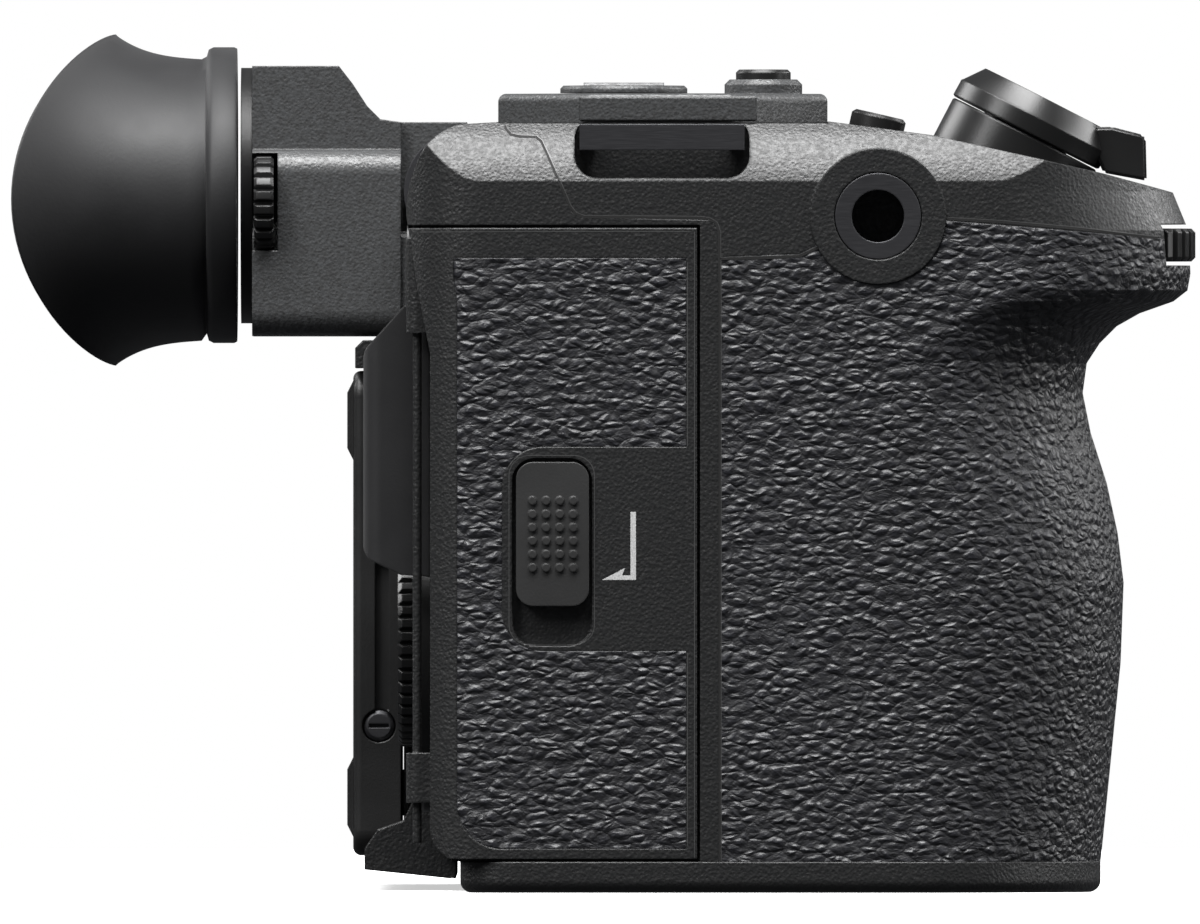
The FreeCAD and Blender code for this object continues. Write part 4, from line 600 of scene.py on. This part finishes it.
def height_on_axis(name):
    """How far a node reaches up the zoom axis, in mm."""
    return max((vertex.co - ZOOM_SPOT).dot(ZOOM_UP) for vertex in nodes[name].data.vertices) / MM


crown = height_on_axis("shutter_button") + 0.15  # the ring's top stands just over the button
zoom_ring = turned("zoom_ring", "zoom_lever", "gloss", [
    (5.0, crown - 3.9), (5.0, crown - 0.6), (5.3, crown), (6.5, crown), (7.95, crown - 1.9),
    (8.15, crown - 2.1), (8.2, crown - 3.75), (8.0, crown - 3.9)])
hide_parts("zoom_lever")
turned("zoom_collar", "body", "gloss", [
    (5.4, crown - 4.05), (7.9, crown - 4.05), (8.05, crown - 4.2), (8.1, crown - 9.6), (5.4, crown - 9.6)])


TAB_WIDE = 5.8 * MM


def zoom_tab():
    """The finger tab in front of the ring, with rounded edges."""
    made = bmesh.new()
    outline = [(1086, 131), (1092, 126.5), (1113, 126), (1144, 134), (1147, 138), (1148, 180), (1105, 172)]
    plate(made, [spot(*point) for point in outline], ZOOM_SPOT.x - TAB_WIDE / 2, TAB_WIDE)
    bmesh.ops.bevel(made, geom=made.edges, offset=0.35 * MM, segments=2, affect="EDGES", clamp_overlap=True)
    keep(made, "zoom_tab", "zoom_lever", "gloss")


zoom_tab()


# Blocks: the monitor's seat on the rear cover, the viewfinder's lower front and the side of the top deck

def soft_block(name, body, finish, low, high, edge):
    """A block with rounded edges between two corners in mm."""
    made = bmesh.new()
    bmesh.ops.create_cube(made, size=1)
    for vertex in made.verts:
        vertex.co = Vector([(a if c < 0 else b) * MM for a, b, c in zip(low, high, vertex.co)])
    bmesh.ops.bevel(made, geom=made.edges, offset=edge * MM, segments=3, affect="EDGES")
    return keep(made, name, body, finish)


soft_block("monitor_seat", "body", "plastic", (-21, 32.9, 5), (44, 36.1, 50), 0.8)
soft_block("finder_chin", "viewfinder", "deck_paint", (10.4, 33.9, 55.95), (45.6, 38, 66.5), 0.5)
soft_block("deck_cheek", "body", "deck_paint", (-71.75, 0.6, 77.2), (-71.2, 18.4, 79.7), 0.12)


# Light, floor and camera

MIDDLE = Vector((0.0, 0.015, 0.04))


def lamp(name, place, size, power):
    """A soft box that faces the object's middle, with its size in metres and its power in watts."""
    data = bpy.data.lights.new(name, "AREA")
    data.shape = "RECTANGLE"
    data.size, data.size_y = size
    data.energy = power
    item = bpy.data.objects.new(name, data)
    bpy.context.scene.collection.objects.link(item)
    item.location = place
    item.rotation_euler = (MIDDLE - Vector(place)).to_track_quat("-Z", "Y").to_euler()


lamp("top_box", (-0.3, 0.05, 0.95), (0.9, 0.6), 30)
lamp("side_box", (-0.75, 0.7, 0.8), (0.45, 0.45), 10)
lamp("rim_box", (-0.3, -1.0, 0.35), (0.3, 0.8), 3)
lamp("back_box", (0.6, 1.0, 0.7), (0.7, 0.7), 9)
lamp("front_box", (0.5, -1.0, 0.6), (0.7, 0.7), 9)

AMBIENT = (0.07, 0.072, 0.076)
WHITE = (1, 1, 1)
world = bpy.data.worlds.new("studio")
bpy.context.scene.world = world
world.use_nodes = True
sky = world.node_tree.nodes["Background"]
path = put(world.node_tree, "LightPath")
shade = tint(world.node_tree, path.outputs["Is Camera Ray"], AMBIENT, WHITE)
world.node_tree.links.new(shade, sky.inputs["Color"])

REACH = 0.6
FLOOR_GLOW = 0.55
floor_mesh = bpy.data.meshes.new("floor")
floor_mesh.from_pydata([(-REACH, -REACH, 0), (REACH, -REACH, 0), (REACH, REACH, 0), (-REACH, REACH, 0)], [],
                       [(0, 1, 2, 3)])
floor = bpy.data.objects.new("floor", floor_mesh)
bpy.context.scene.collection.objects.link(floor)
floor_paint, floor_tree, floor_shader = blank("floor_paper")
floor_grain = noise(floor_tree, place_of(floor_tree), 300, 2)
floor_tree.links.new(tint(floor_tree, floor_grain, grey(0.9), grey(0.94)), floor_shader.inputs["Base Color"])
floor_shader.inputs["Emission Color"].default_value = (*WHITE, 1)
floor_shader.inputs["Emission Strength"].default_value = FLOOR_GLOW
floor_shader.inputs["Roughness"].default_value = 0.7
floor_mesh.materials.append(floor_paint)
floor.visible_diffuse = False
floor.visible_glossy = False

# The camera looks along +X from far off, so that near and far parts keep one scale
GRIP_PLANE = -76 * MM
FAR = 6.0
SENSOR = 36.0
CLIP_END = 20
view_data = bpy.data.cameras.new("view")
view_data.sensor_width = SENSOR
view_data.lens = SENSOR * FAR / (FRAME_WIDE * PIXEL)
view_data.clip_end = CLIP_END
view = bpy.data.objects.new("view", view_data)
bpy.context.scene.collection.objects.link(view)
view_y, view_z = spot(CENTRE_PX, CENTRE_PY)
view.location = (GRIP_PLANE - FAR, view_y, view_z)
view.rotation_euler = (math.radians(90), 0, math.radians(-90))
bpy.context.scene.camera = view
bpy.context.scene.view_settings.view_transform = "Standard"
